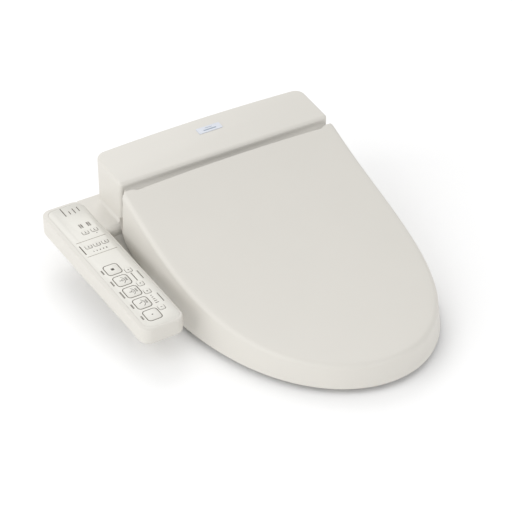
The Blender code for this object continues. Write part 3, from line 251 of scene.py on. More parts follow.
def circuit_board():
    """Fibreglass board under green solder mask, with copper tracks showing through as paler lines."""
    made, tree, shader, place = begin("fr4_solder_mask")
    shader.inputs["Coat Weight"].default_value = 0.4
    tracks = add(tree, "ShaderNodeTexBrick", [("Vector", place)], scale=per_mm(12), offset=0.37, squash=0.6)
    tracks.inputs["Color1"].default_value = colour("2B6540")
    tracks.inputs["Color2"].default_value = colour("2F6E46")
    tracks.inputs["Mortar"].default_value = colour("5C9A6B")
    tracks.inputs["Mortar Size"].default_value = 0.03
    tree.links.new(tracks.outputs["Color"], shader.inputs["Base Color"])
    vary_roughness(tree, shader, tracks.outputs["Fac"], 0.35, 0.25)
    relief(tree, shader, tracks.outputs["Fac"], 0.04)
    return made


def wound_tape():
    """Polyester tape wound round the transformer: laps 3 mm apart."""
    made, tree, shader, place = begin("polyester_tape")
    laps = add(tree, "ShaderNodeTexWave", [("Vector", place)], scale=per_mm(20), bands_direction="Z")
    laps.inputs["Distortion"].default_value = 0.6
    vary_colour(tree, shader, laps.outputs["Fac"], "C99F27", "DDBB45")
    vary_roughness(tree, shader, laps.outputs["Fac"], 0.3, 0.42)
    relief(tree, shader, laps.outputs["Fac"], 0.1)
    return made


def carbon_block():
    """Activated carbon granules about 1.5 mm across, bound in a block."""
    made, tree, shader, place = begin("activated_carbon")
    grains = add(tree, "ShaderNodeTexVoronoi", [("Vector", place)], scale=per_mm(1.5))
    vary_colour(tree, shader, grains.outputs["Distance"], "2A2A2B", "121213")
    vary_roughness(tree, shader, grains.outputs["Distance"], 0.7, 0.95)
    relief(tree, shader, grains.outputs["Distance"], 0.5)
    return made


def crinkled_foil():
    """Aluminium foil heater: bright, with soft creases from laying it by hand."""
    made, tree, shader, place = begin("aluminium_foil")
    shader.inputs["Metallic"].default_value = 1.0
    creases = add(tree, "ShaderNodeTexNoise", [("Vector", place)], scale=per_mm(7), detail=4.0)
    vary_colour(tree, shader, creases.outputs["Fac"], "BFC2C4", "DADCDD")
    vary_roughness(tree, shader, creases.outputs["Fac"], 0.25, 0.45)
    relief(tree, shader, creases.outputs["Fac"], 0.4)
    return made


def studio_floor():
    """White paper sweep with the faint tooth of its surface."""
    made, tree, shader, place = begin("paper_sweep")
    tooth = add(tree, "ShaderNodeTexNoise", [("Vector", place)], scale=per_mm(3), detail=2.0)
    vary_colour(tree, shader, tooth.outputs["Fac"], "FAFAFA", "FDFDFD")
    vary_roughness(tree, shader, tooth.outputs["Fac"], 0.85, 0.95)
    return made


BONE = moulded("abs_bone", "D2CFC8", "D5D2CB", 0.46, gloss=0.03)
BONE_LIGHT = moulded("polyester_film_bone", "DAD8D1", "DDDBD4", 0.42, grain=0.5, depth=0.006)
KEY_PLASTIC = moulded("abs_bone_key", "D8D6CF", "DBD9D2", 0.38, grain=0.6, depth=0.008)
GREY_PLASTIC = moulded("polypropylene_grey", "85898A", "919596", 0.5, 1.2, 0.03)
DARK_PLASTIC = moulded("nylon_black", "333436", "3E3F42", 0.48, 1.2, 0.03)
ACETAL = moulded("acetal_natural", "ECEBE4", "F3F2EC", 0.3, 1.0, 0.01, ior=1.48)
TIP_PLASTIC = moulded("polypropylene_white", "F0EFEA", "F6F5F1", 0.25, 1.0, 0.006, gloss=0.2)
PLATE_PLASTIC = moulded("polycarbonate_plate", "C9CDD6", "CFD3DB", 0.3, 1.0, 0.004, gloss=0.1, ior=1.58)
RUBBER = rubber("tpe_pale", "DDD9D0", "E4E0D8")
STEEL = brushed("stainless_brushed", "BFC2C4", "D2D4D6", 0, 0.3)
WAND_STEEL = brushed("stainless_drawn", "C3C6C8", "D8DADC", 1, 0.2)
COPPER = brushed("copper_sheath", "A8623A", "C07C4E", 2, 0.32)
INK = printed_ink("ink_taupe", "453D31", "4F473A")
PALE_INK = printed_ink("ink_pale_taupe", "857E70", "8F887A")
DARK_INK = printed_ink("ink_charcoal", "3F3A33", "4C463E")
PLATE_INK = printed_ink("ink_slate", "8B98A8", "98A4B3")


# ---------------------------------------------------------------- building

def piece(name, mesh, finish, body, stands_for=(), crease=35):
    """Put a finished mesh in the scene, smooth it and let it ride on its body."""
    item = bpy.data.objects.new(name, mesh)
    bpy.context.scene.collection.objects.link(item)
    mesh.materials.clear()
    mesh.materials.append(finish)
    mesh.shade_smooth()
    mesh.set_sharp_from_angle(angle=math.radians(crease))
    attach(item, body)
    if stands_for:
        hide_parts(*stands_for)
    return item


def loft_into(bm, rings, caps=True, closed=False):
    """Skin a list of equal rings; closed joins the last ring to the first."""
    rows = [[bm.verts.new(point) for point in ring] for ring in rings]
    pairs = list(zip(rows, rows[1:])) + ([(rows[-1], rows[0])] if closed else [])
    count = len(rows[0])
    for lower, upper in pairs:
        for i in range(count):
            j = (i + 1) % count
            bm.faces.new((lower[i], lower[j], upper[j], upper[i]))
    if caps and not closed:
        bm.faces.new(list(reversed(rows[0])))
        bm.faces.new(rows[-1])


def mesh_of(name, rings_list, caps=True, closed=False):
    """One mesh from several lofts."""
    bm = bmesh.new()
    for rings in rings_list:
        loft_into(bm, rings, caps, closed)
    return finish_mesh(name, bm)


def finish_mesh(name, bm):
    bmesh.ops.recalc_face_normals(bm, faces=bm.faces)
    mesh = bpy.data.meshes.new(name)
    bm.to_mesh(mesh)
    bm.free()
    return mesh


def combine(mesh, *changes):
    """Mesh after a run of boolean changes, given as (operation, mesh)."""
    item = bpy.data.objects.new(mesh.name, mesh)
    bpy.context.scene.collection.objects.link(item)
    tools = []
    for operation, tool_mesh in changes:
        tool = bpy.data.objects.new(tool_mesh.name, tool_mesh)
        bpy.context.scene.collection.objects.link(tool)
        tools.append(tool)
        change = item.modifiers.new(tool.name, "BOOLEAN")
        change.operation = operation
        change.solver = "EXACT"
        change.object = tool
    bpy.context.view_layer.update()
    made = bpy.data.meshes.new_from_object(item.evaluated_get(bpy.context.evaluated_depsgraph_get()))
    for used in tools + [item]:
        bpy.data.objects.remove(used)
    made.name = mesh.name
    return made


def round_rectangle(x0, x1, y0, y1, radius, steps=10, side_steps=1):
    """Rectangle with round corners, as (x, y, outward x, outward y), counter-clockwise.

    radius may be a pair, for the front and the rear corners.
    """
    front, rear = radius if isinstance(radius, tuple) else (radius, radius)
    corners = [(x1 - front, y0 + front, front), (x1 - rear, y1 - rear, rear),
               (x0 + rear, y1 - rear, rear), (x0 + front, y0 + front, front)]
    points = []
    for corner, (cx, cy, bend) in enumerate(corners):
        start = math.radians(-90 + 90 * corner)
        for step in range(steps + 1):
            turn = start + math.pi / 2 * step / steps
            nx, ny = math.cos(turn), math.sin(turn)
            points.append((cx + bend * nx, cy + bend * ny, nx, ny))
        x, y, nx, ny = points[-1]
        next_x, next_y, next_bend = corners[(corner + 1) % 4]
        ahead = (next_x + next_bend * nx, next_y + next_bend * ny)
        for step in range(1, side_steps):
            part = step / side_steps
            points.append((x + (ahead[0] - x) * part, y + (ahead[1] - y) * part, nx, ny))
    return points


def moved_in(points, distance):
    return [(x - nx * distance, y - ny * distance) for x, y, nx, ny in points]


def quarter(steps):
    """Angles from 0 to 90 degrees."""
    return [math.pi / 2 * i / steps for i in range(steps + 1)]


# ---------------------------------------------------------------- housing and arm

def house_top(y):
    return HOUSE_TOP - HOUSE_FALL * (HOUSE_REAR - y)


def arm_top(y):
    return ARM_TOP + ARM_SLOPE * y


def arm_under(y):
    return ARM_UNDER + ARM_UNDER_SLOPE * y


def front_ledge():
    """Hollow step along the housing's front that closes up to the sweep of the lid's rear edge."""
    inside = HOUSE_FRONT + 1 * MM
    lip = math.asin((LEDGE_TOP - HINGE.z) / LEDGE_REACH)
    hollow = HOUSE_FRONT - HINGE.y - LEDGE_REACH * math.cos(lip)
    profile = [(inside, LEDGE_TOP + hollow)]
    for turn in quarter(8):
        profile.append((HOUSE_FRONT - hollow * (1 - math.cos(turn)), LEDGE_TOP + hollow * (1 - math.sin(turn))))
    for i in range(1, 9):
        turn = lip + (math.radians(6) - lip) * i / 8
        profile.append((HINGE.y + LEDGE_REACH * math.cos(turn), HINGE.z + LEDGE_REACH * math.sin(turn)))
    profile.append((inside, profile[-1][1]))
    stations = [(-LEDGE_HALF + LEDGE_ROUND * (1 - math.cos(turn)), 0.04 + 0.96 * math.sin(turn)) for turn in quarter(6)]
    stations += [(-x, share) for x, share in reversed(stations)]
    return [[Vector((x, inside + (y - inside) * share, z)) for y, z in profile] for x, share in stations]


def house_rings(inset, low, steps=8):
    """Housing form: bowed at the rear, with a softer edge along the front of its top."""
    outline = round_rectangle(-HOUSE_HALF, HOUSE_HALF, HOUSE_FRONT, HOUSE_REAR,
                              (HOUSE_FRONT_CORNER, HOUSE_REAR_CORNER), 10, 12)
    middle = (HOUSE_FRONT + HOUSE_REAR) / 2

    def ring(inward_of, height_of):
        points = []
        for x, y, nx, ny in outline:
            inward = inward_of(ny)
            px, py = x - nx * inward, y - ny * inward
            share = max(0, (py - middle) / (HOUSE_REAR - middle))
            py -= HOUSE_BOW * (px / HOUSE_HALF) ** 2 * share
            points.append(Vector((px, py, height_of(py, ny))))
        return points

    def edge(ny):
        return HOUSE_EDGE + (HOUSE_FRONT_EDGE - HOUSE_EDGE) * max(0, -ny) ** 2

    rings = [ring(lambda ny: inset, lambda y, ny: low)]
    for turn in quarter(steps):
        rings.append(ring(lambda ny: inset + edge(ny) * (1 - math.cos(turn)),
                          lambda y, ny: house_top(y) - inset - edge(ny) * (1 - math.sin(turn))))
    return rings


def arm_rings(inset, low_of, low_edge=0.0, steps=5):
    """Arm form between its underside and its sloping top face."""
    outline = round_rectangle(ARM_OUTER, ARM_INNER, ARM_FRONT, ARM_REAR, ARM_CORNER, 10, 1)
    rings = []
    if low_edge:
        for turn in quarter(steps):
            inward = inset + low_edge * (1 - math.sin(turn))
            rings.append([Vector((x, y, low_of(y) + low_edge * (1 - math.cos(turn))))
                          for x, y in moved_in(outline, inward)])
    else:
        rings.append([Vector((x, y, low_of(y))) for x, y in moved_in(outline, inset)])
    for turn in quarter(steps):
        inward = inset + ARM_EDGE * (1 - math.cos(turn))
        down = inset + ARM_EDGE * (1 - math.sin(turn))
        rings.append([Vector((x, y, arm_top(y) - down)) for x, y in moved_in(outline, inward)])
    return rings


def shoulder_profile(inset):
    """Side profile (y, z) of the bridge between arm and housing, rounded down at its front."""
    front = SHOULDER_FRONT + inset
    rear = ARM_REAR - HOUSE_BOW / 2 - inset
    low = HOUSE_LOW + 6 * MM - (1 * MM if inset else 0)
    profile = [(front, low), (rear, low), (rear, arm_top(rear) - inset - 0.1 * MM)]
    radius = SHOULDER_ROUND
    for turn in reversed(quarter(8)):
        y = front + radius * (1 - math.cos(turn))
        z = arm_top(front + radius) - inset - 0.1 * MM - radius * (1 - math.sin(turn))
        profile.append((y, z))
    return profile


def along_x(profile, x0, x1):
    return [[Vector((x, y, z)) for y, z in profile] for x in (x0, x1)]


def cove_rings():
    """Hollow fillet that runs along the foot of the housing's side, on the shoulder."""
    side = -HOUSE_HALF
    rings = []
    for y in (SHOULDER_FRONT + SHOULDER_ROUND, ARM_REAR - HOUSE_REAR_CORNER):
        z = arm_top(y) - 0.1 * MM
        points = [(side + 1 * MM, z - 1 * MM), (side + 1 * MM, z + COVE)]
        for turn in quarter(8):
            points.append((side - COVE * (1 - math.cos(turn)), z + COVE * (1 - math.sin(turn))))
        points.append((side - COVE, z - 1 * MM))
        rings.append([Vector((x, y, height)) for x, height in points])
    return rings


def film_outline(grow, steps=10):
    return round_rectangle(FILM_LOW.x - grow, FILM_HIGH.x + grow, FILM_LOW.y - grow, FILM_HIGH.y + grow,
                           FILM_CORNER + grow, steps)


def on_arm(points, depth):
    """Lay (x, y) points at a depth below the arm's top face."""
    return [Vector((x, y, arm_top(y) - depth)) for x, y in points]


def upper_cover():
    """Housing, arm and shoulder, moulded in one shell."""
    body = mesh_of("housing_shell", [house_rings(0, HOUSE_LOW)])
    hollow_low = HOUSE_LOW - 5 * MM
    recess = moved_in(film_outline(FILM_GAP), 0)
    window = moved_in(film_outline(-5 * MM), 0)
    made = combine(
        body,
        ("UNION", mesh_of("arm_form", [arm_rings(0, arm_under, ARM_LOW_EDGE)])),
        ("UNION", mesh_of("shoulder", [along_x(shoulder_profile(0), ARM_INNER - 6 * MM, -HOUSE_HALF + 6 * MM)])),
        ("UNION", mesh_of("cove", [cove_rings()])),
        ("UNION", mesh_of("front_ledge", [front_ledge()])),
        ("DIFFERENCE", mesh_of("housing_hollow", [house_rings(WALL, hollow_low, 3)])),
        ("DIFFERENCE", mesh_of("arm_hollow", [arm_rings(ARM_WALL, lambda y: arm_under(y) - 2 * MM, 0, 2)])),
        ("DIFFERENCE", mesh_of("shoulder_hollow", [along_x(shoulder_profile(WALL), ARM_INNER - 9 * MM,
                                                          -HOUSE_HALF + 9 * MM)])),
        ("DIFFERENCE", mesh_of("film_recess", [[on_arm(recess, FILM_THICK + FILM_GAP), on_arm(recess, -5 * MM)]])),
        ("DIFFERENCE", mesh_of("panel_window", [[on_arm(window, 6 * MM), on_arm(window, -5 * MM)]])),
        ("DIFFERENCE", mesh_of("wand_passage", [along_x([(-37 * MM, 30 * MM), (-27 * MM, 30 * MM),
                                                         (-27 * MM, 80 * MM), (-37 * MM, 80 * MM)],
                                                        -26 * MM, 26 * MM)])))
    piece("housing_and_arm_shell", made, BONE, "housing", ["upper_cover"], 28)


def arm_tray():
    """Plate that closes the arm from below, inside the shell's rim."""
    outline = round_rectangle(ARM_OUTER, ARM_INNER, ARM_FRONT, ARM_REAR, ARM_CORNER, 10)
    rings = []
    for inward, lift in ((ARM_WALL + 2 * MM, 2.6), (ARM_WALL + 0.3 * MM, 2.4), (ARM_WALL + 0.3 * MM, 0.9),
                         (ARM_WALL + 0.8 * MM, 0.5)):
        rings.append([Vector((x, y, arm_under(y) + lift * MM)) for x, y in moved_in(outline, inward)])
    made = mesh_of("arm_tray", [list(reversed(rings))])
    piece("arm_underside_plate", made, BONE, "housing", ["arm_lower_cover"])


# ---------------------------------------------------------------- lid

def lid_top(x, y):
    rise = max(0, (y - LID_FRONT) / (LID_REAR - LID_FRONT))
    return LID_TOP_FRONT + (LID_TOP_REAR - LID_TOP_FRONT) * rise ** LID_SWEEP - LID_CROWN * (x / LID_HALF) ** 2


def lid_half_width(y, inset):
    if y >= LID_ROUND:
        return LID_HALF - inset
    share = min(1, (LID_ROUND - y) / (LID_ROUND - LID_FRONT - inset))
    return (LID_HALF - inset) * math.sqrt(max(0, 1 - share ** LID_ROUND_POWER))


def rim_height(y):
    """Lower edge of the side wall: a quarter ellipse at the rear, a slope and the level rim."""
    if y > CHEEK_MID:
        share = min(1, (y - CHEEK_MID) / (CHEEK_REAR - CHEEK_MID))
        return CHEEK_TOP - (CHEEK_TOP - CHEEK_LOW) * math.sqrt(1 - share ** 2)
    share = max(0, (y - CHEEK_RISE) / (CHEEK_MID - CHEEK_RISE))
    share = share * share * (1.6 - 0.6 * share)
    return LID_RIM + (CHEEK_LOW - LID_RIM) * share


def lid_plan(inset, back=0.0, front_steps=120, cheek_steps=20, side_steps=4):
    """Open outline of the lid from its left rear round the front to its right rear."""
    reach = CHEEK_REAR - CHEEK_MID
    side = [CHEEK_MID + (reach - back) * math.sin(math.pi / 2 * (1 - i / cheek_steps)) for i in range(cheek_steps)]
    side += [CHEEK_MID + (LID_ROUND - CHEEK_MID) * i / side_steps for i in range(side_steps)]
    half = LID_HALF - inset
    left = [(-half, y) for y in side]
    length = LID_ROUND - LID_FRONT - inset
    front = []
    for i in range(front_steps + 1):
        turn = math.pi * i / front_steps
        depth = abs(math.sin(turn)) ** (2 / LID_ROUND_POWER)
        front.append((-half * math.cos(turn), LID_ROUND - length * depth))
    return left + front + [(-x, y) for x, y in reversed(left)]


def rear_reach(x):
    """How far forward of the side walls' rear edge the top ends: least at the two ears."""
    step = 5 * MM
    share = min(1, max(0, (abs(x) - (LID_HALF - LID_EAR_WIDTH - step)) / step))
    smooth = share * share * (3 - 2 * share)
    return CHEEK_REAR - (LID_REAR + (LID_EAR_REAR - LID_REAR) * smooth)


def lid_skin(inset, lowered, rim_lift):
    """Grid of rows from the rim up over the edge to the lid's middle, moved in by inset."""
    outer = lid_plan(0)
    rows = []
    wall_steps = 4

    def rounded(x, y):
        """Bring the rear corner's points in to its round outline."""
        beyond = min(LID_EAR_ROUND, max(0, y - (LID_EAR_REAR - LID_EAR_ROUND)))
        room = LID_HALF - inset - LID_EAR_ROUND + math.sqrt(LID_EAR_ROUND ** 2 - beyond ** 2)
        return math.copysign(min(abs(x), room), x)

    for i in range(wall_steps):
        share = i / wall_steps
        row = []
        for (x, y), (ox, oy) in zip(lid_plan(inset + LID_DRAFT * share), outer):
            low = rim_height(oy) + rim_lift
            row.append(Vector((rounded(x, y), y, low + (lid_top(x, y) - LID_EDGE - low) * share)))
        rows.append(row)
    for turn in quarter(7):
        inward = inset + LID_DRAFT + LID_EDGE * (1 - math.cos(turn))
        down = lowered + LID_EDGE * (1 - math.sin(turn))
        back = rear_reach(LID_HALF - inward) * (0.15 + 0.85 * math.sin(turn / 2) * math.sqrt(2))
        rows.append([Vector((rounded(x, y), y, lid_top(x, y) - down)) for x, y in lid_plan(inward, back)])
    edge = lid_plan(inset + LID_DRAFT + LID_EDGE, 0)
    top_steps = 22
    for i in range(1, top_steps + 1):
        share = 1 - i / top_steps
        row = []
        for x, y in edge:
            across = x * share
            along = y
            if y < LID_ROUND:
                along = LID_ROUND + (y - LID_ROUND) * share
            elif y > CHEEK_MID:
                along = CHEEK_MID + (y - CHEEK_MID) * (CHEEK_REAR - rear_reach(across) - CHEEK_MID) / (CHEEK_REAR - CHEEK_MID)
            row.append(Vector((across, along, lid_top(across, along) - lowered)))
        rows.append(row)
    return rows


def lid_shell():
    """Hood moulded in one piece: outer skin, inner skin and the rounded edge that joins them."""
    bm = bmesh.new()
    outer = [[bm.verts.new(p) for p in row] for row in lid_skin(0, 0, 0.6 * MM)]
    inner = [[bm.verts.new(p) for p in row] for row in lid_skin(LID_WALL, LID_WALL, 0.6 * MM)]
    lip = []
    for (x, y), (ix, iy) in zip(lid_plan(LID_WALL * 0.25), lid_plan(LID_WALL * 0.75)):
        lip.append((bm.verts.new((x, y, rim_height(y))), bm.verts.new((ix, iy, rim_height(iy)))))
    for grid, flip in ((outer, False), (inner, True)):
        for lower, upper in zip(grid, grid[1:]):
            for i in range(len(lower) - 1):
                quad = (lower[i], lower[i + 1], upper[i + 1], upper[i])
                bm.faces.new(tuple(reversed(quad)) if flip else quad)
    for i in range(len(lip) - 1):
        a, b = lip[i], lip[i + 1]
        bm.faces.new((outer[0][i + 1], outer[0][i], a[0], b[0]))
        bm.faces.new((a[0], a[1], b[1], b[0]))
        bm.faces.new((a[1], inner[0][i], inner[0][i + 1], b[1]))
    for end in (0, -1):
        ends = lip[end]
        edge = [ends[0]] + [row[end] for row in outer] + [row[end] for row in reversed(inner)] + [ends[1]]
        half = len(edge) // 2
        for i in range(half - 1):
            corners = (edge[i], edge[i + 1], edge[-2 - i], edge[-1 - i])
            if len({id(c) for c in corners}) == 4:
                bm.faces.new(corners)
    bmesh.ops.remove_doubles(bm, verts=bm.verts, dist=0.00002)
    made = finish_mesh("lid_shell", bm)
    lugs = [along_x(lid_lug_profile(), side * LID_LUG_X[0], side * LID_LUG_X[1]) for side in (-1, 1)]
    piece("lid_hood", made, BONE, "lid", ["lid"], 40)
    piece("lid_hinge_lugs", mesh_of("lid_lugs", lugs), BONE, "lid")


def barrel(start, end, steps=20):
    """Arc of (y, z) round the hinge axis."""
    turns = [math.radians(start + (end - start) * i / steps) for i in range(steps + 1)]
    return [(HINGE.y + BARREL_RADIUS * math.cos(t), HINGE.z + BARREL_RADIUS * math.sin(t)) for t in turns]


def lid_lug_profile():
    roof = lid_top(LID_LUG_X[0], HINGE.y - BARREL_RADIUS) - LID_WALL
    return barrel(180, 360) + [(HINGE.y + BARREL_RADIUS, roof + 2.5 * MM), (HINGE.y - BARREL_RADIUS, roof + 0.5 * MM)]


# ---------------------------------------------------------------- seat

def seat_top(y):
    rise = max(0, (y - LID_FRONT) / (LID_REAR - LID_FRONT))
    return SEAT_TOP_FRONT + SEAT_RISE * rise ** 2


def seat_low(y):
    start, end = -215 * MM, -125 * MM
    share = min(1, max(0, (y - start) / (end - start)))
    return SEAT_LOW + (SEAT_LOW_REAR - SEAT_LOW) * share * share * (3 - 2 * share)


def seat_outline(inset, steps=160):
    """Outer outline of the seat, one point for each direction from the opening's centre."""
    centre = (OPENING_REAR + OPENING_FRONT) / 2

    def inside(x, y):
        half = lid_half_width(y, SEAT_INSET + inset)
        rear = SEAT_REAR - inset
        if y > rear or abs(x) > half:
            return False
        dx, dy = abs(x) - (half - SEAT_CORNER), y - (rear - SEAT_CORNER)
        return not (dx > 0 and dy > 0 and math.hypot(dx, dy) > SEAT_CORNER)

    points = []
    for i in range(steps):
        turn = 2 * math.pi * i / steps
        near, far = 0.0, 0.5
        for _ in range(30):
            reach = (near + far) / 2
            if inside(reach * math.cos(turn), centre + reach * math.sin(turn)):
                near = reach
            else:
                far = reach
        points.append((near * math.cos(turn), centre + near * math.sin(turn)))
    return points


def opening_outline(outset, steps=160):
    half = OPENING_HALF + outset
    centre = (OPENING_REAR + OPENING_FRONT) / 2
    length = (OPENING_REAR - OPENING_FRONT) / 2 + outset
    points = []
    for i in range(steps):
        turn = 2 * math.pi * i / steps
        reach = (abs(math.cos(turn) / half) ** OPENING_POWER
                 + abs(math.sin(turn) / length) ** OPENING_POWER) ** (-1 / OPENING_POWER)
        points.append((reach * math.cos(turn), centre + reach * math.sin(turn)))
    return points


def seat_ring():
    """Seat: a rounded ring whose top is dished towards the opening."""
    def at(outline, height):
        return [Vector((x, y, height(y))) for x, y in outline]
    rings = [at(seat_outline(0), seat_low)]
    for turn in quarter(7):
        inward = SEAT_EDGE * (1 - math.cos(turn))
        down = SEAT_EDGE * (1 - math.sin(turn))
        rings.append(at(seat_outline(inward), lambda y: seat_top(y) - down))
    outer, inner = seat_outline(SEAT_EDGE), opening_outline(SEAT_EDGE)
    across = 8
    for i in range(1, across):
        share = i / across
        dip = SEAT_DISH * share * share
        row = []
        for (ox, oy), (ix, iy) in zip(outer, inner):
            x, y = ox + (ix - ox) * share, oy + (iy - oy) * share
            row.append(Vector((x, y, seat_top(y) - dip)))
        rings.append(row)
    for turn in reversed(quarter(7)):
        inward = SEAT_EDGE * (1 - math.cos(turn))
        down = SEAT_DISH + SEAT_EDGE * (1 - math.sin(turn))
        rings.append(at(opening_outline(inward), lambda y: seat_top(y) - down))
    rings.append(at(opening_outline(0), seat_low))
    wall = 3 * MM
    rings.append(at(opening_outline(wall), seat_low))
    rings.append(at(opening_outline(wall), lambda y: seat_low(y) + wall))
    rings.append(at(seat_outline(wall), lambda y: seat_low(y) + wall))
    rings.append(at(seat_outline(wall), seat_low))
    piece("seat_ring", mesh_of("seat_ring", [rings], False, True), BONE, "seat", ["seat_top"], 40)
    low = seat_low(SEAT_REAR) + wall
    profile = barrel(-20, 180) + [(SEAT_REAR - 6 * MM, seat_top(SEAT_REAR) - 7 * MM), (SEAT_REAR - 14 * MM, low),
                                  (SEAT_REAR + 4 * MM, low), (HINGE.y + 4 * MM, HINGE.z - BARREL_RADIUS)]
    lugs = [along_x(profile, side * SEAT_LUG_X[0], side * SEAT_LUG_X[1]) for side in (-1, 1)]
    piece("seat_hinge_lugs", mesh_of("seat_lugs", lugs), BONE, "seat")


# ---------------------------------------------------------------- panel

FUNCTION_KEYS = ["key_stop", "key_rear_wash", "key_soft_wash", "key_front_wash", "key_dryer"]
SOFT_KEYS = ["key_energy_saver", "key_deodorizer", "key_water_heat", "key_seat_heat", "key_dryer_heat"]
STEP_KEYS = ["key_position_back", "key_position_front", "key_pressure_up", "key_pressure_down"]
ALL_KEYS = FUNCTION_KEYS + SOFT_KEYS + STEP_KEYS
KEY_FLANGE = 0.9 * MM
KEY_PROUD = 0.4 * MM


def key_face(name):
    """Plan of a key's face as x0, x1, y0, y1."""
    low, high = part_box(name)
    return low.x + KEY_FLANGE, high.x - KEY_FLANGE, low.y + KEY_FLANGE, high.y - KEY_FLANGE


def key_centre(name):
    x0, x1, y0, y1 = key_face(name)
    return (x0 + x1) / 2, (y0 + y1) / 2


def key_outline(name, grow):
    x0, x1, y0, y1 = key_face(name)
    radius = min(x1 - x0, y1 - y0) * 0.2
    return round_rectangle(x0 - grow, x1 + grow, y0 - grow, y1 + grow, radius + grow, 7)


def key_caps():
    """Caps with a softened edge and a flat face."""
    for name in ALL_KEYS:
        outline = key_outline(name, 0)
        rings = [on_arm(moved_in(outline, -KEY_FLANGE), FILM_THICK + 4.5 * MM),
                 on_arm(moved_in(outline, -KEY_FLANGE), FILM_THICK + 0.9 * MM),
                 on_arm(moved_in(outline, 0), FILM_THICK + 0.9 * MM),
                 on_arm(moved_in(outline, 0), -KEY_PROUD + 0.35 * MM),
                 on_arm(moved_in(outline, 0.12 * MM), -KEY_PROUD + 0.1 * MM),
                 on_arm(moved_in(outline, 0.4 * MM), -KEY_PROUD)]
        piece(f"{name}_cap", mesh_of(name, [rings]), KEY_PLASTIC, f"{name}_cap", [name], 50)


def panel_film():
    outline = film_outline(0)
    film = mesh_of("film", [[on_arm(moved_in(outline, 0), FILM_THICK), on_arm(moved_in(outline, 0), 0.12 * MM),
                             on_arm(moved_in(outline, 0.12 * MM), 0)]])
    holes = [[on_arm(moved_in(key_outline(name, 0), -0.35 * MM), 3 * MM),
              on_arm(moved_in(key_outline(name, 0), -0.35 * MM), -3 * MM)] for name in ALL_KEYS]
    made = combine(film, ("DIFFERENCE", mesh_of("key_holes", holes)))
    piece("panel_face", made, BONE_LIGHT, "housing", ["panel_film"], 50)


def slab(bm, points, lift):
    """Thin printed shape on the arm's face, from (x, y) points."""
    loft_into(bm, [on_arm(points, -lift + 0.02 * MM), on_arm(points, -lift - PRINT_THICK)])


def bar(bm, x, y, width, length, lift=0.0, turn=0.0):
    """Printed bar, its length along the arm, turned about its centre."""
    c, s = math.cos(turn), math.sin(turn)
    corners = [(-width / 2, -length / 2), (width / 2, -length / 2), (width / 2, length / 2), (-width / 2, length / 2)]
    slab(bm, [(x + px * c - py * s, y + px * s + py * c) for px, py in corners], lift)


def dot(bm, x, y, radius, lift=0.0, sides=20):
    slab(bm, [(x + radius * math.cos(2 * math.pi * i / sides), y + radius * math.sin(2 * math.pi * i / sides))
              for i in range(sides)], lift)


def line_ring(bm, outline, inner, outer, lift=0.0, keep=None):
    """Printed outline between two offsets of an outline; keep picks the stretch that is drawn."""
    near, far = moved_in(outline, -inner), moved_in(outline, -outer)
    count = len(outline)
    for i in range(count):
        j = (i + 1) % count
        if keep is None or (keep(outline[i]) and keep(outline[j])):
            slab(bm, [near[i], far[i], far[j], near[j]], lift)


def word(bm, x, y, length, height=2.0 * MM, lift=0.0, rows=1):
    """Stand-in for a printed word: a row of short strokes along the arm, with uneven widths."""
    widths = (1.1, 0.7, 1.3, 0.9, 1.2, 0.6, 1.0)
    spot, i = -length / 2, 0
    while spot < length / 2 - 0.4 * MM:
        wide = widths[i % len(widths)] * MM
        for row in range(rows):
            bar(bm, x + (row - (rows - 1) / 2) * height * 1.4, y - spot - wide / 2, height, wide, lift)
        spot += wide + 0.45 * MM
        i += 1


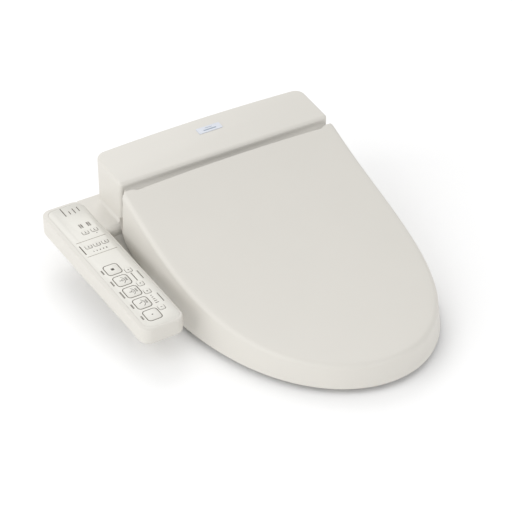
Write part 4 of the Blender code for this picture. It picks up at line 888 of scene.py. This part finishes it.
def panel_print():
    """Labels, dividers and level marks printed on the film."""
    bm = bmesh.new()
    left = FILM_LOW.x
    outer = left + 6 * MM
    for name, length in zip(FUNCTION_KEYS, (10, 11, 15, 9, 8)):
        word(bm, outer, key_centre(name)[1], length * MM, 2.6 * MM)
    for name in FUNCTION_KEYS:
        line_ring(bm, key_outline(name, 0), 0.4 * MM, 0.4 * MM + STROKE)
    bar(bm, left + 5.7 * MM, -62 * MM, 1.7 * MM, 22 * MM)
    bar(bm, left + 23 * MM, 32 * MM, 1.4 * MM, 21 * MM)
    for i, length in enumerate((8, 13, 11)):
        bar(bm, left + (31.5 + 7.6 * i) * MM, (27 + 1.5 * i) * MM, 1.3 * MM, length * MM)
    for name in SOFT_KEYS:
        centre = key_centre(name)
        line_ring(bm, key_outline(name, 0), 0.4 * MM, 0.95 * MM, keep=lambda p: p[1] < centre[1] + 2.5 * MM)
        bar(bm, centre[0], centre[1] - 0.3 * MM, 0.6 * MM, 4 * MM, KEY_PROUD)
    for name, x in (("key_energy_saver", 1.5), ("key_deodorizer", -1.0)):
        word(bm, key_centre(name)[0] + x * MM, -10 * MM, 10 * MM, 2.2 * MM, rows=2)
    dot(bm, key_centre("key_deodorizer")[0], -34 * MM, 0.8 * MM)
    for i in range(5):
        x = key_centre("key_water_heat")[0] + (2 + 5.2 * i) * MM
        bar(bm, x, -71.4 * MM, (0.9 + 0.25 * i) * MM, 2.6 * MM)
    for name in STEP_KEYS:
        centre = key_centre(name)
        line_ring(bm, key_outline(name, 0), 0.4 * MM, 0.85 * MM, keep=lambda p: p[1] < centre[1] + 3.5 * MM)
    side = key_centre("key_position_back")[0]
    bar(bm, side, -150 * MM, 1.3 * MM, 20 * MM)
    word(bm, side + 10 * MM, -150 * MM, 20 * MM, 1.7 * MM)
    for i in range(5):
        bar(bm, side, (-198 - 4.3 * i) * MM, (2.0 + 0.9 * i) * MM, 1.2 * MM)
    word(bm, side + 10 * MM, -207 * MM, 19 * MM, 1.7 * MM)
    piece("panel_print", finish_mesh("panel_print", bm), INK, "housing")
    lines = bmesh.new()
    for y in (-43.5 * MM, -79 * MM):
        bar(lines, (left + FILM_HIGH.x) / 2, y, FILM_HIGH.x - left - 9 * MM, 0.9 * MM)
    piece("panel_dividers", finish_mesh("panel_dividers", lines), PALE_INK, "housing")


def square_mark(bm, x, y, lift):
    bar(bm, x, y, 4.6 * MM, 4.6 * MM, lift)


def dot_mark(bm, x, y, lift):
    dot(bm, x, y, 1.1 * MM, lift)


def spray_mark(turns, broken=False):
    """Mark of a curved seat line over a fan of jets."""
    def draw(bm, x, y, lift):
        for turn in turns:
            angle = math.radians(turn)
            for start, end in (((1.6, 3.0), (3.8, 5.4)) if broken else ((1.6, 5.4),)):
                middle = (start + end) / 2 * MM
                bar(bm, x - 3.2 * MM + middle * math.cos(angle), y + middle * math.sin(angle),
                    0.6 * MM, (end - start) * MM, lift, angle - math.pi / 2)
        dot(bm, x - 3.4 * MM, y, 0.9 * MM, lift)
        for i in range(10):
            angle = math.radians(-52 + 11.5 * i)
            bar(bm, x - 4.4 * MM + 8.2 * MM * math.cos(angle), y + 8.2 * MM * math.sin(angle),
                0.8 * MM, 1.75 * MM, lift, angle)
        word(bm, x + 6.6 * MM, y + 0.5 * MM, 7 * MM, 1.0 * MM, lift, 2)
    return draw


def triangle_mark(direction):
    def draw(bm, x, y, lift):
        slab(bm, [(x - 1.4 * MM, y - direction * 1.1 * MM), (x + 1.4 * MM, y - direction * 1.1 * MM),
                  (x, y + direction * 1.4 * MM)][::direction], lift)
    return draw


def plus_mark(bm, x, y, lift):
    bar(bm, x, y, 0.8 * MM, 3 * MM, lift)
    bar(bm, x, y, 3 * MM, 0.8 * MM, lift)


def minus_mark(bm, x, y, lift):
    bar(bm, x, y, 3 * MM, 0.8 * MM, lift)


def level_mark(bm, x, y, lift):
    """Short upright with a foot."""
    bar(bm, x, y, 0.8 * MM, 4.2 * MM, lift)
    bar(bm, x, y - 1.7 * MM, 2.4 * MM, 0.8 * MM, lift)


KEY_MARKS = {"key_stop": square_mark, "key_rear_wash": spray_mark((-26, 0, 26)),
             "key_soft_wash": spray_mark((-34, -11, 11, 34), True), "key_front_wash": spray_mark((20, 42)),
             "key_dryer": dot_mark, "key_position_back": triangle_mark(1), "key_position_front": triangle_mark(-1),
             "key_pressure_up": plus_mark, "key_pressure_down": minus_mark, "key_energy_saver": level_mark,
             "key_deodorizer": level_mark, "key_water_heat": level_mark, "key_seat_heat": level_mark,
             "key_dryer_heat": level_mark}


def key_marks():
    """Printed mark on each key, which moves with it."""
    for name, draw in KEY_MARKS.items():
        bm = bmesh.new()
        draw(bm, *key_centre(name), KEY_PROUD)
        piece(f"{name}_mark", finish_mesh(name, bm), DARK_INK, f"{name}_cap")


def name_plate():
    """Plain plate, its print left as two blank lines."""
    low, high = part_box("name_plate")
    outline = round_rectangle(low.x, high.x, low.y, high.y, 1.5 * MM, 6)
    lift = 0.3 * MM
    rings = [[Vector((x, y, house_top(y) + up)) for x, y in moved_in(outline, inward)]
             for inward, up in ((0, 0.05 * MM), (0, lift + 0.4 * MM), (0.2 * MM, lift + 0.6 * MM))]
    piece("plain_name_plate", mesh_of("plate", [rings]), PLATE_PLASTIC, "housing", ["name_plate"])
    middle = (low.x + high.x) / 2
    strokes = []
    for y, half, tall in ((high.y - 4 * MM, 6 * MM, 1.1 * MM), (low.y + 4.6 * MM, 11 * MM, 2.2 * MM)):
        corners = [(middle - half, y - tall / 2), (middle + half, y - tall / 2),
                   (middle + half, y + tall / 2), (middle - half, y + tall / 2)]
        strokes.append([[Vector((px, py, house_top(py) + lift + up)) for px, py in corners]
                        for up in (0.5 * MM, 0.66 * MM)])
    piece("plate_lines", mesh_of("plate_lines", strokes), PLATE_INK, "housing")


# ---------------------------------------------------------------- carried-over parts

NODE_FINISHES = {
    "bottom_pan": BONE, "front_deck": BONE, "dryer_flap": BONE, "strainer_plug": BONE,
    "mounting_plate": GREY_PLASTIC, "seat_base": BONE, "wand_guide": GREY_PLASTIC,
    "water_tank": GREY_PLASTIC, "tank_cap": GREY_PLASTIC, "inlet_valve": GREY_PLASTIC,
    "blower_wheel": GREY_PLASTIC, "seat_damper": DARK_PLASTIC, "lid_damper": DARK_PLASTIC,
    "blower_housing": DARK_PLASTIC, "blower_cover": DARK_PLASTIC, "dryer_duct": DARK_PLASTIC,
    "deodorizer_fan": DARK_PLASTIC, "cord_gland": DARK_PLASTIC, "release_button": DARK_PLASTIC,
    "hinge_pin_left": STEEL, "hinge_pin_right": STEEL, "spray_wand": WAND_STEEL, "wand_motor": STEEL,
    "tank_thermostat": STEEL, "inlet_port": STEEL, "blower_motor": STEEL, "tank_heater": COPPER,
    "wand_tip": TIP_PLASTIC, "wand_pinion": ACETAL,
    "seat_bumper_front_left": RUBBER, "seat_bumper_front_right": RUBBER, "seat_bumper_rear_left": RUBBER,
    "seat_bumper_rear_right": RUBBER, "lid_bumper_left": RUBBER, "lid_bumper_right": RUBBER,
}


def finish_nodes():
    finishes = dict(NODE_FINISHES)
    board = circuit_board()
    finishes.update({"main_board": board, "panel_board": board, "power_transformer": wound_tape(),
                     "deodorizer_filter": carbon_block(), "seat_heater": crinkled_foil()})
    for name, finish in finishes.items():
        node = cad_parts[name]
        if not node.material_slots:
            node.data.materials.append(finish)
        for entry in node.material_slots:
            entry.material = finish


# ---------------------------------------------------------------- studio

def area_light(name, place, target, size, power):
    light = bpy.data.lights.new(name, "AREA")
    light.shape = "DISK"
    light.size = size
    light.energy = power
    item = bpy.data.objects.new(name, light)
    item.location = place
    item.rotation_euler = (Vector(target) - Vector(place)).to_track_quat("-Z", "Y").to_euler()
    bpy.context.scene.collection.objects.link(item)


def studio():
    scene = bpy.context.scene
    size = 6
    mesh = bpy.data.meshes.new("floor")
    mesh.from_pydata([(-size, -size, 0), (size, -size, 0), (size, size, 0), (-size, size, 0)], [], [(0, 1, 2, 3)])
    floor = bpy.data.objects.new("floor", mesh)
    mesh.materials.append(studio_floor())
    scene.collection.objects.link(floor)
    world = bpy.data.worlds.new("studio")
    world.use_nodes = True
    world.node_tree.nodes["Background"].inputs["Color"].default_value = colour("FFFFFF")
    world.node_tree.nodes["Background"].inputs["Strength"].default_value = 0.78
    scene.world = world
    middle = (-0.04, -0.2, 0.05)
    area_light("left_softbox", (-2.4, -0.3, 1.3), middle, 2.8, 30)
    area_light("front_softbox", (0.9, -2.4, 0.8), middle, 2.2, 9)
    area_light("rear_softbox", (0.4, 1.8, 2.0), middle, 1.8, 17)
    scene.view_settings.view_transform = "Standard"
    camera = bpy.data.cameras.new("camera")
    camera.lens = CAMERA_LENS
    camera.sensor_width = 36
    holder = bpy.data.objects.new("camera", camera)
    holder.location = CAMERA_PLACE
    holder.rotation_euler = (Vector(CAMERA_AIM) - Vector(CAMERA_PLACE)).to_track_quat("-Z", "Y").to_euler()
    scene.collection.objects.link(holder)
    scene.camera = holder


studio()
upper_cover()
arm_tray()
lid_shell()
seat_ring()
panel_film()
key_caps()
panel_print()
key_marks()
name_plate()
finish_nodes()
